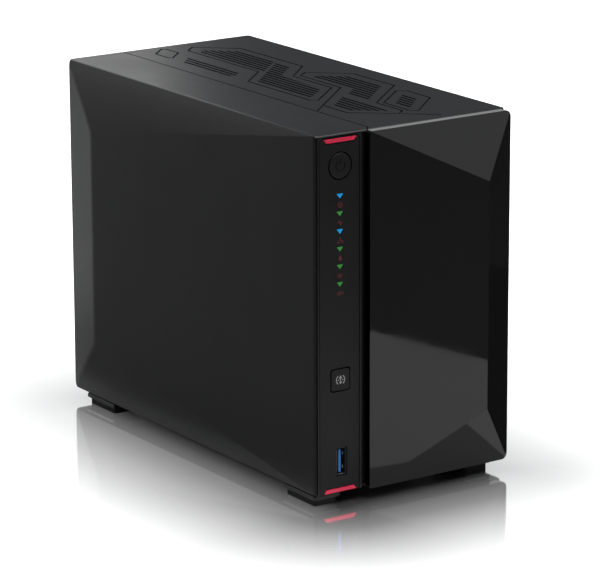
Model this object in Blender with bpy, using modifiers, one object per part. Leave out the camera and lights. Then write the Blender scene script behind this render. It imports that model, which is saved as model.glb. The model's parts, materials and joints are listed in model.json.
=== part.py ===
"""Two-bay network storage enclosure: casing, control strip, cover, trays, boards, fan and ports.

Frame: origin under the middle of the case on the floor, +X right seen from the front, -Y front, +Z up.
Lengths in this file are millimetres and become metres in the helpers.
"""
import math

import bmesh
import bpy
from mathutils import Matrix, Vector

MM = 0.001
GAP = 0.3                     # clearance between neighbouring solids

# Case
HALF_W = 53.5                 # half width of the front and rear outlines
SIDE_BULGE = 4.0              # how far the side facets stand out
FOOT_H = 5.6
TOP_Z = 175.0
FRONT_Y = -104.0
REAR_Y = 112.0
RIDGE_Y = 84.8                # upright edge where the side facets meet
RIDGE_TOP = 31.6              # from that edge's top to the roof
RIDGE_BOTTOM = 29.2           # from that edge's foot to the underside
WALL = 2.4
SEAM_X = -22.5                # joint between the two shells
REBATE = 1.1                  # shell lip in front of the frame
REBATE_DEPTH = 3.0
EDGE_ROUND = 1.6

# Front
STRIP_LEFT, STRIP_RIGHT = -51.0, -30.1
STRIP_FRONT = -104.3
STRIP_Z = (5.6, 173.3)        # pocket for the strip; it runs out through the underside
RIM_RIGHT = -28.0             # right edge of the rim round the strip
FRAME_BACK = -99.9
BAY_FACE = -102.8             # frame face behind the cover
STRIP_X = (STRIP_LEFT + STRIP_RIGHT) / 2 + 0.4
POWER_Z, POWER_R = 160.0, 6.0
COPY_Z, COPY_SIDE = 59.7, 10.8
KEY_GAP = 0.6
LED_TOP_Z, LED_PITCH, LED_COUNT = 146.0, 8.26, 6
LED_W, LED_H = 3.3, 2.1
USB_X, USB_Z = -39.35, 20.35
USB_T, USB_W = 5.7, 13.1      # outer thickness and width of the metal shell
BOARD_Y = -88.4               # front face of the front board

# Cover
COVER_LEFT, COVER_RIGHT = -26.2, 53.5
COVER_BOTTOM, COVER_TOP = 5.6, 174.7
COVER_BACK, COVER_EDGE, COVER_PEAK = -104.4, -108.0, -112.0
PEAK_X = 38.7
PEAK_TOP, PEAK_BOTTOM = 143.3, 33.7
COVER_WALL = 2.0
MAGNET_R, MAGNET_T = 3.0, 2.0
MAGNET_X = (-17.0, 44.0)
MAGNET_Z = (15.0, 168.3)

# Bays and trays
TRAY_W = 34.4
TRAY_X = (-21.8, 14.4)        # left side of each tray
TRAY_Z = (41.4, 163.8)
TRAY_FACE = -103.4
TRAY_FRONT_WALL = (-99.0, -97.0)
TRAY_BACK = 50.0
DRIVE = (26.1, 147.0, 101.6)  # 3.5 inch drive standing on its side: x, y, z
DRIVE_Z = 51.8                # underside of the drive
HANDLE_AXIS = (-102.0, 46.5)  # y, z
HANDLE_TOP = 148.0
PIN_R = 1.2
LATCH_Z = (152.4, 161.0)
LATCH_W = 18.0
CAGE_X = (-23.2, 50.2)
CAGE_Z = (43.6, 162.4)
CAGE_Y = (-96.6, 60.0)
SHEET = 0.8                   # steel sheet

# Boards
PCB = 1.6
BASE_Z = 8.6
MAIN_Z = 14.0                 # underside of the main board
MAIN_TOP = MAIN_Z + PCB
BACKPLANE_Y = 62.4

# Rear
PANEL_Y = (107.4, 109.0)
PANEL_SPLIT = 34.0            # upper edge of the port plate
PORT_REAR = 109.6
FAN_X, FAN_Z, FAN_SIDE, FAN_DEPTH = 6.0, 104.0, 80.0, 25.0
FAN_BORE = 38.2
FAN_HOLE_PITCH = 71.5
BLADES = 7

# Roof vents. Each field is a polygon in x, y; the louvres run along y inside it.
LOUVRE_PITCH, LOUVRE_W = 2.97, 1.5
LOUVRE_FIELDS = [
    [(-12.3, 70.5), (-3.4, 79.4), (-3.4, 34.0), (-9.0, 28.5), (-12.3, 31.0)],
    [(8.2, 86.5), (12.2, 90.8), (25.4, 78.2), (25.4, 46.2), (8.2, 29.5)],
    [(24.7, 43.8), (24.7, 31.5), (7.8, 14.6), (7.8, -19.8), (-6.6, -33.2), (-8.2, -31.8), (-8.2, 10.6)],
    [(20.1, 4.6), (23.2, 7.1), (35.6, -5.4), (35.6, -30.8), (10.8, -54.1), (10.8, -37.9), (19.8, -29.1)],
    [(6.0, -40.4), (6.0, -78.5), (3.9, -78.5), (-9.2, -66.6), (-9.2, -54.8)],
    [(31.8, -52.9), (31.8, -64.1), (17.0, -79.0), (17.0, -67.2)],
]

COLOURS = {                   # base colour, roughness, metallic
    "shell_plastic": ((0.030, 0.030, 0.031), 0.55, 0.0),
    "gloss_plastic": ((0.008, 0.008, 0.009), 0.08, 0.0),
    "strip_plastic": ((0.020, 0.020, 0.021), 0.45, 0.0),
    "accent_red": ((0.730, 0.030, 0.080), 0.35, 0.0),
    "clear_guide": ((0.500, 0.720, 0.800), 0.20, 0.0),
    "inner_plastic": ((0.016, 0.016, 0.017), 0.50, 0.0),
    "usb_blue": ((0.010, 0.160, 0.480), 0.40, 0.0),
    "steel": ((0.560, 0.570, 0.580), 0.35, 1.0),
    "painted_steel": ((0.025, 0.025, 0.026), 0.45, 0.3),
    "magnet": ((0.600, 0.600, 0.590), 0.25, 1.0),
    "board_green": ((0.012, 0.090, 0.045), 0.40, 0.0),
    "aluminium": ((0.700, 0.710, 0.720), 0.35, 1.0),
    "rubber": ((0.012, 0.012, 0.012), 0.85, 0.0),
}


def clear_scene():
    """Take every object out of the scene."""
    for item in list(bpy.data.objects):
        bpy.data.objects.remove(item, do_unlink=True)


def make_collection(name):
    """A collection linked to the scene."""
    group = bpy.data.collections.new(name)
    bpy.context.scene.collection.children.link(group)
    return group


def make_material(name):
    """The plain material of one finish."""
    colour, roughness, metallic = COLOURS[name]
    material = bpy.data.materials.new(name)
    material.use_nodes = True
    shader = material.node_tree.nodes["Principled BSDF"]
    shader.inputs["Base Color"].default_value = (*colour, 1.0)
    shader.inputs["Roughness"].default_value = roughness
    shader.inputs["Metallic"].default_value = metallic
    return material


clear_scene()
PARTS = make_collection("nas_enclosure")
CUTTERS = make_collection("cutters")
MATERIALS = {name: make_material(name) for name in COLOURS}


def add_object(name, mesh, finish=None):
    """Wrap a mesh as a part with a finish, or as a hidden cutter without one."""
    item = bpy.data.objects.new(name, mesh)
    if finish:
        mesh.materials.append(MATERIALS[finish])
        PARTS.objects.link(item)
    else:
        CUTTERS.objects.link(item)
        item.hide_render = True
        item.display_type = "WIRE"
    return item


def mesh_from(builder, name):
    """Turn a bmesh into a mesh, in metres."""
    bmesh.ops.scale(builder, vec=(MM, MM, MM), verts=builder.verts)
    bmesh.ops.recalc_face_normals(builder, faces=builder.faces)
    mesh = bpy.data.meshes.new(name)
    builder.to_mesh(mesh)
    builder.free()
    return mesh


def add_box(builder, low, high):
    """Put one box into a bmesh."""
    size = [b - a for a, b in zip(low, high)]
    middle = [(a + b) / 2 for a, b in zip(low, high)]
    place = Matrix.Translation(middle) @ Matrix.Diagonal((*size, 1.0))
    bmesh.ops.create_cube(builder, size=1.0, matrix=place)


def boxes(name, corner_pairs, finish=None):
    """One object made of separate boxes; a part has one, a cutter may have many."""
    builder = bmesh.new()
    for low, high in corner_pairs:
        add_box(builder, low, high)
    return add_object(name, mesh_from(builder, name), finish)


def box(name, low, high, finish=None):
    """A plain box between two corners."""
    return boxes(name, [(low, high)], finish)


AXIS_TURN = {
    "X": Matrix.Rotation(math.pi / 2, 4, "Y"),
    "Y": Matrix.Rotation(math.pi / 2, 4, "X"),
    "Z": Matrix.Identity(4),
}


def rods(name, stations, finish=None, segments=24):
    """Cylinders given as (axis, start point, radius, length)."""
    builder = bmesh.new()
    for axis, start, radius, length in stations:
        middle = Vector(start)
        middle["XYZ".index(axis)] += length / 2
        bmesh.ops.create_cone(
            builder, cap_ends=True, segments=segments, radius1=radius, radius2=radius, depth=length,
            matrix=Matrix.Translation(middle) @ AXIS_TURN[axis])
    return add_object(name, mesh_from(builder, name), finish)


def hull(name, points, finish=None):
    """The flat-faced solid that wraps a few corner points."""
    builder = bmesh.new()
    for point in points:
        builder.verts.new(point)
    bmesh.ops.convex_hull(builder, input=builder.verts)
    bmesh.ops.dissolve_limit(builder, angle_limit=0.002, verts=builder.verts, edges=builder.edges)
    return add_object(name, mesh_from(builder, name), finish)


PLANE_TURN = {                # outline plane: how a curve in local XY is turned
    "XY": (0.0, 0.0, 0.0),
    "XZ": (math.pi / 2, 0.0, 0.0),
    "YZ": (math.pi / 2, 0.0, math.pi / 2),
}
PLANE_NORMAL = {"XY": 2, "XZ": 1, "YZ": 0}


def extrusion(name, loops, plane, start, end, finish=None):
    """Flat outlines, where a loop inside another is a hole, carried from start to end."""
    curve = bpy.data.curves.new(name, "CURVE")
    curve.dimensions = "2D"
    curve.fill_mode = "BOTH"
    curve.extrude = abs(end - start) / 2 * MM
    for loop in loops:
        spline = curve.splines.new("POLY")
        spline.points.add(len(loop) - 1)
        for spot, (u, v) in zip(spline.points, loop):
            spot.co = (u * MM, v * MM, 0.0, 1.0)
        spline.use_cyclic_u = True
    guide = bpy.data.objects.new(name + "_outline", curve)
    CUTTERS.objects.link(guide)
    guide.rotation_euler = PLANE_TURN[plane]
    guide.location[PLANE_NORMAL[plane]] = (start + end) / 2 * MM
    bpy.context.view_layer.update()
    depsgraph = bpy.context.evaluated_depsgraph_get()
    mesh = bpy.data.meshes.new_from_object(guide.evaluated_get(depsgraph))
    builder = bmesh.new()
    builder.from_mesh(mesh)
    bmesh.ops.remove_doubles(builder, verts=builder.verts, dist=0.01 * MM)
    bmesh.ops.recalc_face_normals(builder, faces=builder.faces)
    builder.to_mesh(mesh)
    builder.free()
    mesh.materials.clear()
    item = add_object(name, mesh, finish)
    item.matrix_world = guide.matrix_world.copy()
    bpy.data.objects.remove(guide, do_unlink=True)
    return item


def combine(item, other, operation):
    """Cut or join one object with another, by an exact Boolean."""
    step = item.modifiers.new(operation.lower(), "BOOLEAN")
    step.operation = operation
    step.solver = "EXACT"
    step.object = other
    return item


def cut(item, *cutters):
    """Take cutters away from a part."""
    for cutter in cutters:
        combine(item, cutter, "DIFFERENCE")
    return item


def join(item, *others):
    """Join hidden solids to a part."""
    for other in others:
        combine(item, other, "UNION")
    return item


def rectangle(low, high):
    """Corners of an upright rectangle."""
    return [(low[0], low[1]), (high[0], low[1]), (high[0], high[1]), (low[0], high[1])]


def round_rectangle(middle, width, height, radius, steps=4):
    """A rectangle with round corners."""
    loop = []
    for quarter in range(4):
        sign_x = 1 if quarter in (0, 3) else -1
        sign_y = 1 if quarter in (0, 1) else -1
        for step in range(steps + 1):
            angle = (quarter + step / steps) * math.pi / 2
            loop.append((middle[0] + sign_x * (width / 2 - radius) + radius * math.cos(angle),
                         middle[1] + sign_y * (height / 2 - radius) + radius * math.sin(angle)))
    return loop


def circle(middle, radius, segments=32):
    """A round outline."""
    turns = [2 * math.pi * k / segments for k in range(segments)]
    return [(middle[0] + radius * math.cos(a), middle[1] + radius * math.sin(a)) for a in turns]


def case_points(inset, front, rear):
    """Corner points of the faceted case, drawn in by a wall thickness."""
    half = HALF_W - inset
    top = TOP_Z - inset
    bottom = FOOT_H + inset
    ridge = HALF_W + SIDE_BULGE - inset
    points = []
    for side in (-1, 1):
        for y in (front, rear):
            points += [(side * half, y, bottom), (side * half, y, top)]
        points.append((side * ridge, RIDGE_Y, TOP_Z - RIDGE_TOP))
        points.append((side * ridge, RIDGE_Y, FOOT_H + RIDGE_BOTTOM))
    return points


def field_span(field, x):
    """Lowest and highest y of a vent field along the line at x."""
    crossings = []
    for (ax, ay), (bx, by) in zip(field, field[1:] + field[:1]):
        if min(ax, bx) <= x <= max(ax, bx) and abs(ax - bx) > 1e-6:
            crossings.append(ay + (by - ay) * (x - ax) / (bx - ax))
    return min(crossings), max(crossings)


def louvre_loops():
    """One four-cornered outline for each louvre of each field."""
    loops = []
    for field in LOUVRE_FIELDS:
        left = min(x for x, _ in field)
        right = max(x for x, _ in field)
        count = int((right - left + LOUVRE_PITCH - LOUVRE_W) / LOUVRE_PITCH)
        spare = (right - left) - (count - 1) * LOUVRE_PITCH - LOUVRE_W
        for k in range(count):
            a = left + spare / 2 + k * LOUVRE_PITCH
            b = a + LOUVRE_W
            low_a, high_a = field_span(field, a)
            low_b, high_b = field_span(field, b)
            if min(high_a - low_a, high_b - low_b) > LOUVRE_W:
                loops.append([(a, low_a), (b, low_b), (b, high_b), (a, high_a)])
    return loops


def build_shells():
    """The two moulded halves, open at the front and rear, with the louvres in the roof."""
    inner = hull("case_inside", case_points(WALL, FRONT_Y - 10, REAR_Y + 10))
    lip = box("front_rebate", (-HALF_W + REBATE, FRONT_Y - 5, FOOT_H + REBATE + 0.1),
              (HALF_W - REBATE, FRONT_Y + REBATE_DEPTH, TOP_Z - REBATE))
    strip_way = box("strip_way", (-HALF_W + REBATE, FRONT_Y - 5, FOOT_H - 5),
                    (RIM_RIGHT + GAP, FRONT_Y + REBATE_DEPTH, FOOT_H + REBATE + 1))
    right_side = box("keep_left", (SEAM_X - GAP / 2, -130, -10), (90, 130, 190))
    left_side = box("keep_right", (-90, -130, -10), (SEAM_X + GAP / 2, 130, 190))
    vents = extrusion("louvres", louvre_loops(), "XY", TOP_Z - 6, TOP_Z + 6)
    for name, waste in (("left_shell", right_side), ("right_shell", left_side)):
        shell = hull(name, case_points(0.0, FRONT_Y, REAR_Y), "shell_plastic")
        rounding = shell.modifiers.new("edges", "BEVEL")
        rounding.width = EDGE_ROUND * MM
        rounding.segments = 2
        rounding.limit_method = "ANGLE"
        rounding.angle_limit = math.radians(40)
        cut(shell, inner, lip, strip_way, waste)
        if name == "right_shell":
            cut(shell, vents)


def strip_cutters(grow, start, end, tag):
    """Openings of the strip: power key, copy key, indicator ends and USB port."""
    loops = [
        circle((STRIP_X, POWER_Z), POWER_R + grow),
        round_rectangle((STRIP_X, COPY_Z), COPY_SIDE + 2 * grow, COPY_SIDE + 2 * grow, 1.2),
        rectangle((USB_X - USB_T / 2 - GAP, USB_Z - USB_W / 2 - GAP),
                  (USB_X + USB_T / 2 + GAP, USB_Z + USB_W / 2 + GAP)),
    ]
    loops += [indicator_loop(k, GAP) for k in range(LED_COUNT)]
    return extrusion("strip_openings_" + tag, loops, "XZ", start, end)


def indicator_loop(index, grow):
    """Triangle of one indicator, point down."""
    z = LED_TOP_Z - index * LED_PITCH
    half = LED_W / 2 + grow
    up = LED_H / 2 + grow / 2
    return [(STRIP_X - half, z + up), (STRIP_X, z - up - grow / 2), (STRIP_X + half, z + up)]


def accent_loop(end, grow):
    """Trapezoid inlay at the top (+1) or the bottom (-1) of the strip."""
    edge = STRIP_Z[1] - 0.3 if end > 0 else STRIP_Z[0] + 0.3
    inner = edge - end * 2.1
    wide, narrow = 9.2 + grow, 7.8 + grow
    return [(STRIP_X - wide, edge + end * grow), (STRIP_X - narrow, inner - end * grow),
            (STRIP_X + narrow, inner - end * grow), (STRIP_X + wide, edge + end * grow)]


def build_front_frame():
    """Bezel frame: flange in the shells' rebate, pocket for the strip, openings for the bays."""
    side = HALF_W - REBATE - GAP
    low, high = FOOT_H + REBATE + 0.4, TOP_Z - REBATE - GAP
    frame = box("front_frame", (-side, STRIP_FRONT, low), (side, FRAME_BACK, high), "shell_plastic")
    back = FRONT_Y + REBATE_DEPTH - GAP
    strip_foot = box("strip_foot", (-side, STRIP_FRONT, STRIP_Z[0]), (RIM_RIGHT, back, low + 1))
    inner = HALF_W - WALL - GAP
    pare = extrusion("frame_step", [rectangle((-60, 0), (60, 180)),
                                    rectangle((-inner, FOOT_H + WALL + GAP), (inner, TOP_Z - WALL - GAP))],
                     "XZ", back, FRAME_BACK + 5)
    bay_face = box("bay_face", (RIM_RIGHT, STRIP_FRONT - 5, 0), (60, BAY_FACE, 180))
    pocket = box("strip_pocket", (STRIP_LEFT - GAP, STRIP_FRONT - 5, STRIP_Z[0] - 5),
                 (STRIP_RIGHT + GAP, STRIP_FRONT + 2.3, STRIP_Z[1] + GAP))
    bays = [rectangle((x - 0.4, TRAY_Z[0] - 0.4), (x + TRAY_W + 0.4, TRAY_Z[1] + 0.4)) for x in TRAY_X]
    bays += [rectangle((-15, z), (42, z + 2.4)) for z in (23.0, 27.6, 32.2, 36.0)]
    bay_cut = extrusion("bay_openings", bays, "XZ", STRIP_FRONT - 5, FRAME_BACK + 5)
    plates = boxes("catch_recess", [
        ((MAGNET_X[0] - 4.6, BAY_FACE - 5, MAGNET_Z[1] - 2.8),
         (MAGNET_X[1] + 4.6, BAY_FACE + 1.5, MAGNET_Z[1] + 2.8)),
        ((MAGNET_X[0] - 4.6, BAY_FACE - 5, MAGNET_Z[0] - 2.8),
         (MAGNET_X[1] + 4.6, BAY_FACE + 1.5, MAGNET_Z[0] + 2.8))])
    join(frame, strip_foot)
    cut(frame, pare, bay_face, pocket, bay_cut, plates,
        strip_cutters(KEY_GAP, STRIP_FRONT + 1, FRAME_BACK + 5, "frame"))
    for name, z in (("catch_plate_lower", MAGNET_Z[0]), ("catch_plate_upper", MAGNET_Z[1])):
        box(name, (MAGNET_X[0] - 4.2, BAY_FACE + 0.1, z - 2.4), (MAGNET_X[1] + 4.2, BAY_FACE + 1.1, z + 2.4),
            "steel")


def build_strip():
    """Control strip with its inlays, keys, light guide, port and board."""
    panel = box("indicator_panel", (STRIP_LEFT, STRIP_FRONT, STRIP_Z[0] + 0.3),
                (STRIP_RIGHT, STRIP_FRONT + 2.0, STRIP_Z[1]), "strip_plastic")
    seats = extrusion("accent_seats", [accent_loop(1, 0.15), accent_loop(-1, 0.15)], "XZ",
                      STRIP_FRONT - 5, STRIP_FRONT + 1.2)
    cut(panel, strip_cutters(KEY_GAP, STRIP_FRONT - 5, STRIP_FRONT + 5, "panel"), seats)
    for name, end in (("accent_bar_top", 1), ("accent_bar_bottom", -1)):
        extrusion(name, [accent_loop(end, -0.15)], "XZ", STRIP_FRONT - 0.25, STRIP_FRONT + 0.9,
                  "accent_red")
    build_keys()
    guide = box("light_guide", (STRIP_X - 2.4, -92.0, LED_TOP_Z - 5 * LED_PITCH - 3),
                (STRIP_X + 2.4, -90.0, LED_TOP_Z + 3), "clear_guide")
    ends = extrusion("guide_ends", [indicator_loop(k, 0.0) for k in range(LED_COUNT)], "XZ",
                     STRIP_FRONT + 0.05, -91.0)
    join(guide, ends)
    board = box("front_board", (-50.0, BOARD_Y, 12.0), (-25.0, BOARD_Y + PCB, 168.0), "board_green")
    switches = boxes("front_switches", [
        ((STRIP_X - 3, BOARD_Y - 0.7, z - 3), (STRIP_X + 3, BOARD_Y + 0.5, z + 3))
        for z in (POWER_Z, COPY_Z)])
    join(board, switches)
    build_usb("front_usb", (USB_X, USB_Z), (USB_T, USB_W), STRIP_FRONT + 0.5, BOARD_Y - GAP)


def build_keys():
    """Power key and copy key: cap, flange behind the frame, stem to its switch."""
    flange_y = FRAME_BACK + 0.4
    power = rods("power_button", [("Y", (STRIP_X, STRIP_FRONT - 0.3, POWER_Z), POWER_R, 5.5)],
                 "strip_plastic", 48)
    join(power,
         rods("power_flange", [("Y", (STRIP_X, flange_y, POWER_Z), POWER_R + 1.6, 1.4)], None, 32),
         rods("power_stem", [("Y", (STRIP_X, flange_y + 1, POWER_Z), 1.6, 7.6)], None, 16))
    half = COPY_SIDE / 2
    key = extrusion("copy_button", [round_rectangle((STRIP_X, COPY_Z), COPY_SIDE, COPY_SIDE, 1.0)], "XZ",
                    STRIP_FRONT - 0.15, flange_y + 0.5, "strip_plastic")
    join(key,
         box("copy_flange", (STRIP_X - half - 1.4, flange_y, COPY_Z - half - 1.4),
             (STRIP_X + half + 1.4, flange_y + 1.4, COPY_Z + half + 1.4)),
         rods("copy_stem", [("Y", (STRIP_X, flange_y + 1, COPY_Z), 1.6, 7.6)], None, 16))


def build_usb(name, middle, size, mouth, back):
    """An upright USB-A receptacle along Y: folded metal shell, and plastic tongue with its block."""
    skin = 0.35
    half_u, half_v = size[0] / 2, size[1] / 2
    u, v = middle
    outer = rectangle((u - half_u, v - half_v), (u + half_u, v + half_v))
    inner = rectangle((u - half_u + skin, v - half_v + skin), (u + half_u - skin, v + half_v - skin))
    extrusion(name + "_shell", [outer, inner], "XZ", mouth, back, "steel")
    tuck = skin + GAP
    stop = back - 5.0
    block = box(name + "_tongue", (u - half_u + tuck, stop, v - half_v + tuck),
                (u + half_u - tuck, back, v + half_v - tuck), "usb_blue")
    join(block, box(name + "_tip", (u - 1.6, mouth + 0.8, v - half_v + tuck + 0.4),
                    (u + 0.2, stop + 1.0, v + half_v - tuck - 0.4)))


def cover_points(inset, back):
    """Corner points of the faceted cover, drawn in by a wall thickness."""
    points = []
    for x in (COVER_LEFT + inset, COVER_RIGHT - inset):
        for z in (COVER_BOTTOM + inset, COVER_TOP - inset):
            points += [(x, back, z), (x, COVER_EDGE + inset, z)]
    points += [(PEAK_X, COVER_PEAK + inset, z) for z in (PEAK_BOTTOM, PEAK_TOP)]
    return points


def build_cover():
    """Gloss cover: hollow faceted skin, locating rim, four magnet bosses."""
    cover = hull("front_cover", cover_points(0.0, COVER_BACK), "gloss_plastic")
    rounding = cover.modifiers.new("edges", "BEVEL")
    rounding.width = 0.8 * MM
    rounding.segments = 2
    rounding.limit_method = "ANGLE"
    rounding.angle_limit = math.radians(40)
    hollow = hull("cover_inside", cover_points(COVER_WALL, COVER_BACK + 5))
    low = (COVER_LEFT + COVER_WALL - 0.4, COVER_BOTTOM + COVER_WALL - 0.4)
    high = (COVER_RIGHT - COVER_WALL + 0.4, COVER_TOP - COVER_WALL + 0.4)
    thick = 1.6
    inner_low = (low[0] + thick, low[1] + thick)
    inner_high = (high[0] - thick, high[1] - thick)
    rim = extrusion("cover_rim", [rectangle(low, high), rectangle(inner_low, inner_high)], "XZ",
                    -105.6, -103.2)
    spots = [(x, z) for x in MAGNET_X for z in MAGNET_Z]
    bosses = rods("magnet_bosses", [("Y", (x, -107.2, z), MAGNET_R + 1.2, 3.0) for x, z in spots])
    pockets = rods("magnet_pockets", [("Y", (x, -106.7, z), MAGNET_R + GAP, 5.0) for x, z in spots])
    cut(cover, hollow)
    join(cover, rim, bosses)
    cut(cover, pockets)
    for index, (x, z) in enumerate(spots, 1):
        rods("cover_magnet_%d" % index, [("Y", (x, -106.4, z), MAGNET_R, MAGNET_T)], "magnet")


def build_cage():
    """Steel cage: two bays over a space for the main board, standing on its side walls."""
    left, right = CAGE_X
    divider = (TRAY_X[0] + TRAY_W + TRAY_X[1]) / 2
    inner_top, inner_low = CAGE_Z[1] - SHEET, CAGE_Z[0] + SHEET
    foot_z = BASE_Z + 1.3
    outline = [(left, foot_z), (left, CAGE_Z[1]), (right, CAGE_Z[1]), (right, foot_z),
               (right - SHEET, foot_z), (right - SHEET, CAGE_Z[0]),
               (left + SHEET, CAGE_Z[0]), (left + SHEET, foot_z)]
    cage = extrusion("drive_cage", [outline], "XZ", CAGE_Y[0], CAGE_Y[1], "steel")
    front, rear = CAGE_Y[0] - 5, CAGE_Y[1] + 5
    bays = boxes("cage_bays", [
        ((left + SHEET, front, inner_low), (divider - SHEET / 2, rear, inner_top)),
        ((divider + SHEET / 2, front, inner_low), (right - SHEET, rear, inner_top))])
    notch = box("board_notch", (left - 5, -34, 0), (left + 5, CAGE_Y[1] + 5, 24))
    vents = extrusion("cage_vents", [
        rectangle((y, 62), (y + 3.0, 144)) for y in range(-82, 42, 12)], "YZ", left - 5, right + 5)
    cut(cage, bays, notch, vents)


def build_tray(number, left):
    """One drive tray with its handle, latch key and clip-on rails."""
    right = left + TRAY_W
    face, wall = TRAY_FACE, TRAY_FRONT_WALL
    low, high = TRAY_Z
    arm_low, arm_high = DRIVE_Z - 0.5, DRIVE_Z + DRIVE[2] + 0.5
    name = "drive_tray_%d" % number
    tray = box(name, (left, wall[0], low), (right, wall[1], high), "inner_plastic")
    shapes = boxes(name + "_walls", [
        ((left, wall[1] - 0.5, arm_low - 3), (left + 2.2, TRAY_BACK, arm_high + 3))])
    arms = boxes(name + "_arms", [
        ((left + 1.0, wall[1] - 0.6, arm_high), (left + 30, TRAY_BACK - 0.1, arm_high + 3 - 0.1)),
        ((left + 1.0, wall[1] - 0.6, arm_low - 3 + 0.1), (left + 30, TRAY_BACK - 0.1, arm_low))])
    cheeks = boxes(name + "_cheeks", [
        ((left, face + 0.2, low), (left + 1.6, wall[0] + 0.5, high)),
        ((right - 1.6, face + 0.2, low), (right, wall[0] + 0.5, high))])
    blocks = boxes(name + "_blocks", [
        ((left + 0.1, face + 0.3, 150.6), (right - 0.1, wall[0] + 0.6, high - 0.1)),
        ((left + 0.1, face + 0.3, low + 0.1), (right - 0.1, wall[0] + 0.6, 43.4))])
    middle = (left + right) / 2
    latch_hole = box(name + "_latch_hole", (middle - LATCH_W / 2 - 0.4, face - 5, LATCH_Z[0] - 0.4),
                     (middle + LATCH_W / 2 + 0.4, wall[0] - 0.4, LATCH_Z[1] + 0.4))
    pin_holes = rods(name + "_pin_holes", [
        ("X", (left - 1, HANDLE_AXIS[0], HANDLE_AXIS[1]), PIN_R + 0.35, TRAY_W + 2)], None, 16)
    windows = extrusion(name + "_windows", [
        round_rectangle((y, 102.6), 52, 84, 8) for y in (-52, 10)], "YZ", left - 5, left + 5)
    vents = extrusion(name + "_vents", [
        rectangle((middle - 12, z), (middle + 12, z + 3)) for z in range(56, 146, 9)], "XZ",
        wall[0] - 1, wall[1] + 1)
    join(tray, shapes, arms, cheeks, blocks)
    cut(tray, latch_hole, pin_holes, windows, vents)
    build_handle(number, left, right)
    latch = box("tray_latch_%d" % number, (middle - LATCH_W / 2, face - 0.2, LATCH_Z[0]),
                (middle + LATCH_W / 2, face + 2.4, LATCH_Z[1]), "accent_red")
    soften(latch, 0.6)
    for level, z in (("upper", arm_high + 3 + GAP), ("lower", arm_low - 3 - GAP - 3.4)):
        rail = box("tray_rail_%d_%s" % (number, level), (left + 9, -92, z), (left + 23, 44, z + 3.4),
                   "inner_plastic")
        soften(rail, 1.0)


def build_handle(number, left, right):
    """Lever over the tray's front, on two pins near its lower end."""
    y, z = HANDLE_AXIS
    inner = left + 1.6 + 0.4
    outer = right - 1.6 - 0.4
    handle = box("tray_handle_%d" % number, (inner, TRAY_FACE, z - 1.4), (outer, TRAY_FACE + 2.4, HANDLE_TOP),
                 "inner_plastic")
    soften(handle, 0.5)
    pins = rods("handle_pins_%d" % number, [("X", (left + 0.2, y, z), PIN_R, TRAY_W - 0.4)], None, 16)
    middle = (left + right) / 2
    slots = extrusion("handle_slots_%d" % number, [
        rectangle((middle - 11, low), (middle + 11, low + 3)) for low in range(56, 137, 9)], "XZ",
        TRAY_FACE - 5, TRAY_FACE + 5)
    join(handle, pins)
    cut(handle, slots)


def soften(item, width, segments=2):
    """Round a part's sharp edges."""
    rounding = item.modifiers.new("edges", "BEVEL")
    rounding.width = width * MM
    rounding.segments = segments
    rounding.limit_method = "ANGLE"
    rounding.angle_limit = math.radians(40)


def build_boards():
    """Main board with its soldered parts, backplane, connectors, heat sink and memory."""
    main = box("main_board", (-47, -30, MAIN_Z), (47, 106.8, MAIN_TOP), "board_green")
    soldered = boxes("soldered_parts", [
        ((22, -6, MAIN_TOP - 0.5), (44, 20, MAIN_TOP + 1.6)),
        ((-44, 20, MAIN_TOP - 0.5), (-28, 38, MAIN_TOP + 4.0)),
        ((-44, -10, MAIN_TOP - 0.5), (-30, 4, MAIN_TOP + 1.6)),
        ((-42, 60, MAIN_TOP - 0.5), (-32, 70, MAIN_TOP + 5.0)),
        ((-26, 74, MAIN_TOP - 0.5), (-14, 84, MAIN_TOP + 3.0))])
    join(main, soldered)
    sink = box("heat_sink", (18.5, -10, MAIN_TOP + 1.9), (47, 26, MAIN_TOP + 20), "aluminium")
    cut(sink, boxes("sink_slots", [((20.5 + 3 * k, -20, MAIN_TOP + 5), (22.3 + 3 * k, 40, MAIN_TOP + 30))
                                   for k in range(9)]))
    socket = box("memory_socket", (-21, -27, MAIN_TOP + GAP), (-14, 46, MAIN_TOP + 5.5), "inner_plastic")
    cut(socket, box("memory_slot", (-16.5, -24.4, MAIN_TOP + 2.6), (-10, 43.9, MAIN_TOP + 4.6)))
    box("memory_module", (-16.2, -24, MAIN_TOP + 3.0), (13.8, 43.6, MAIN_TOP + 4.2), "board_green")
    slot = box("board_slot", (-14, BACKPLANE_Y - 2.6, MAIN_TOP + GAP), (44, BACKPLANE_Y + 4.2, 25.0),
               "inner_plastic")
    cut(slot, box("slot_mouth", (-9, BACKPLANE_Y - 0.4, MAIN_TOP + 2), (39, BACKPLANE_Y + PCB + 0.4, 30)))
    outline = [(-8, 18.4), (38, 18.4), (38, 30), (48.5, 30), (48.5, 160), (-21.5, 160), (-21.5, 30), (-8, 30)]
    vents = [round_rectangle((x, 96), 9, 96, 4) for x in (-16.0, 13.6, 43.0)]
    extrusion("backplane_board", [outline] + vents, "XZ", BACKPLANE_Y, BACKPLANE_Y + PCB, "board_green")
    for number, left in enumerate(TRAY_X, 1):
        x = left + 3.2
        connector = box("sata_connector_%d" % number, (x, 54.0, 58.0), (x + 7, BACKPLANE_Y - GAP, 102.0),
                        "inner_plastic")
        cut(connector, boxes("sata_slot_%d" % number, [
            ((x + 1.6, 50, 60.0), (x + 4.4, 59.5, 82.0)), ((x + 1.6, 50, 84.0), (x + 4.4, 59.5, 100.0))]))


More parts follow.
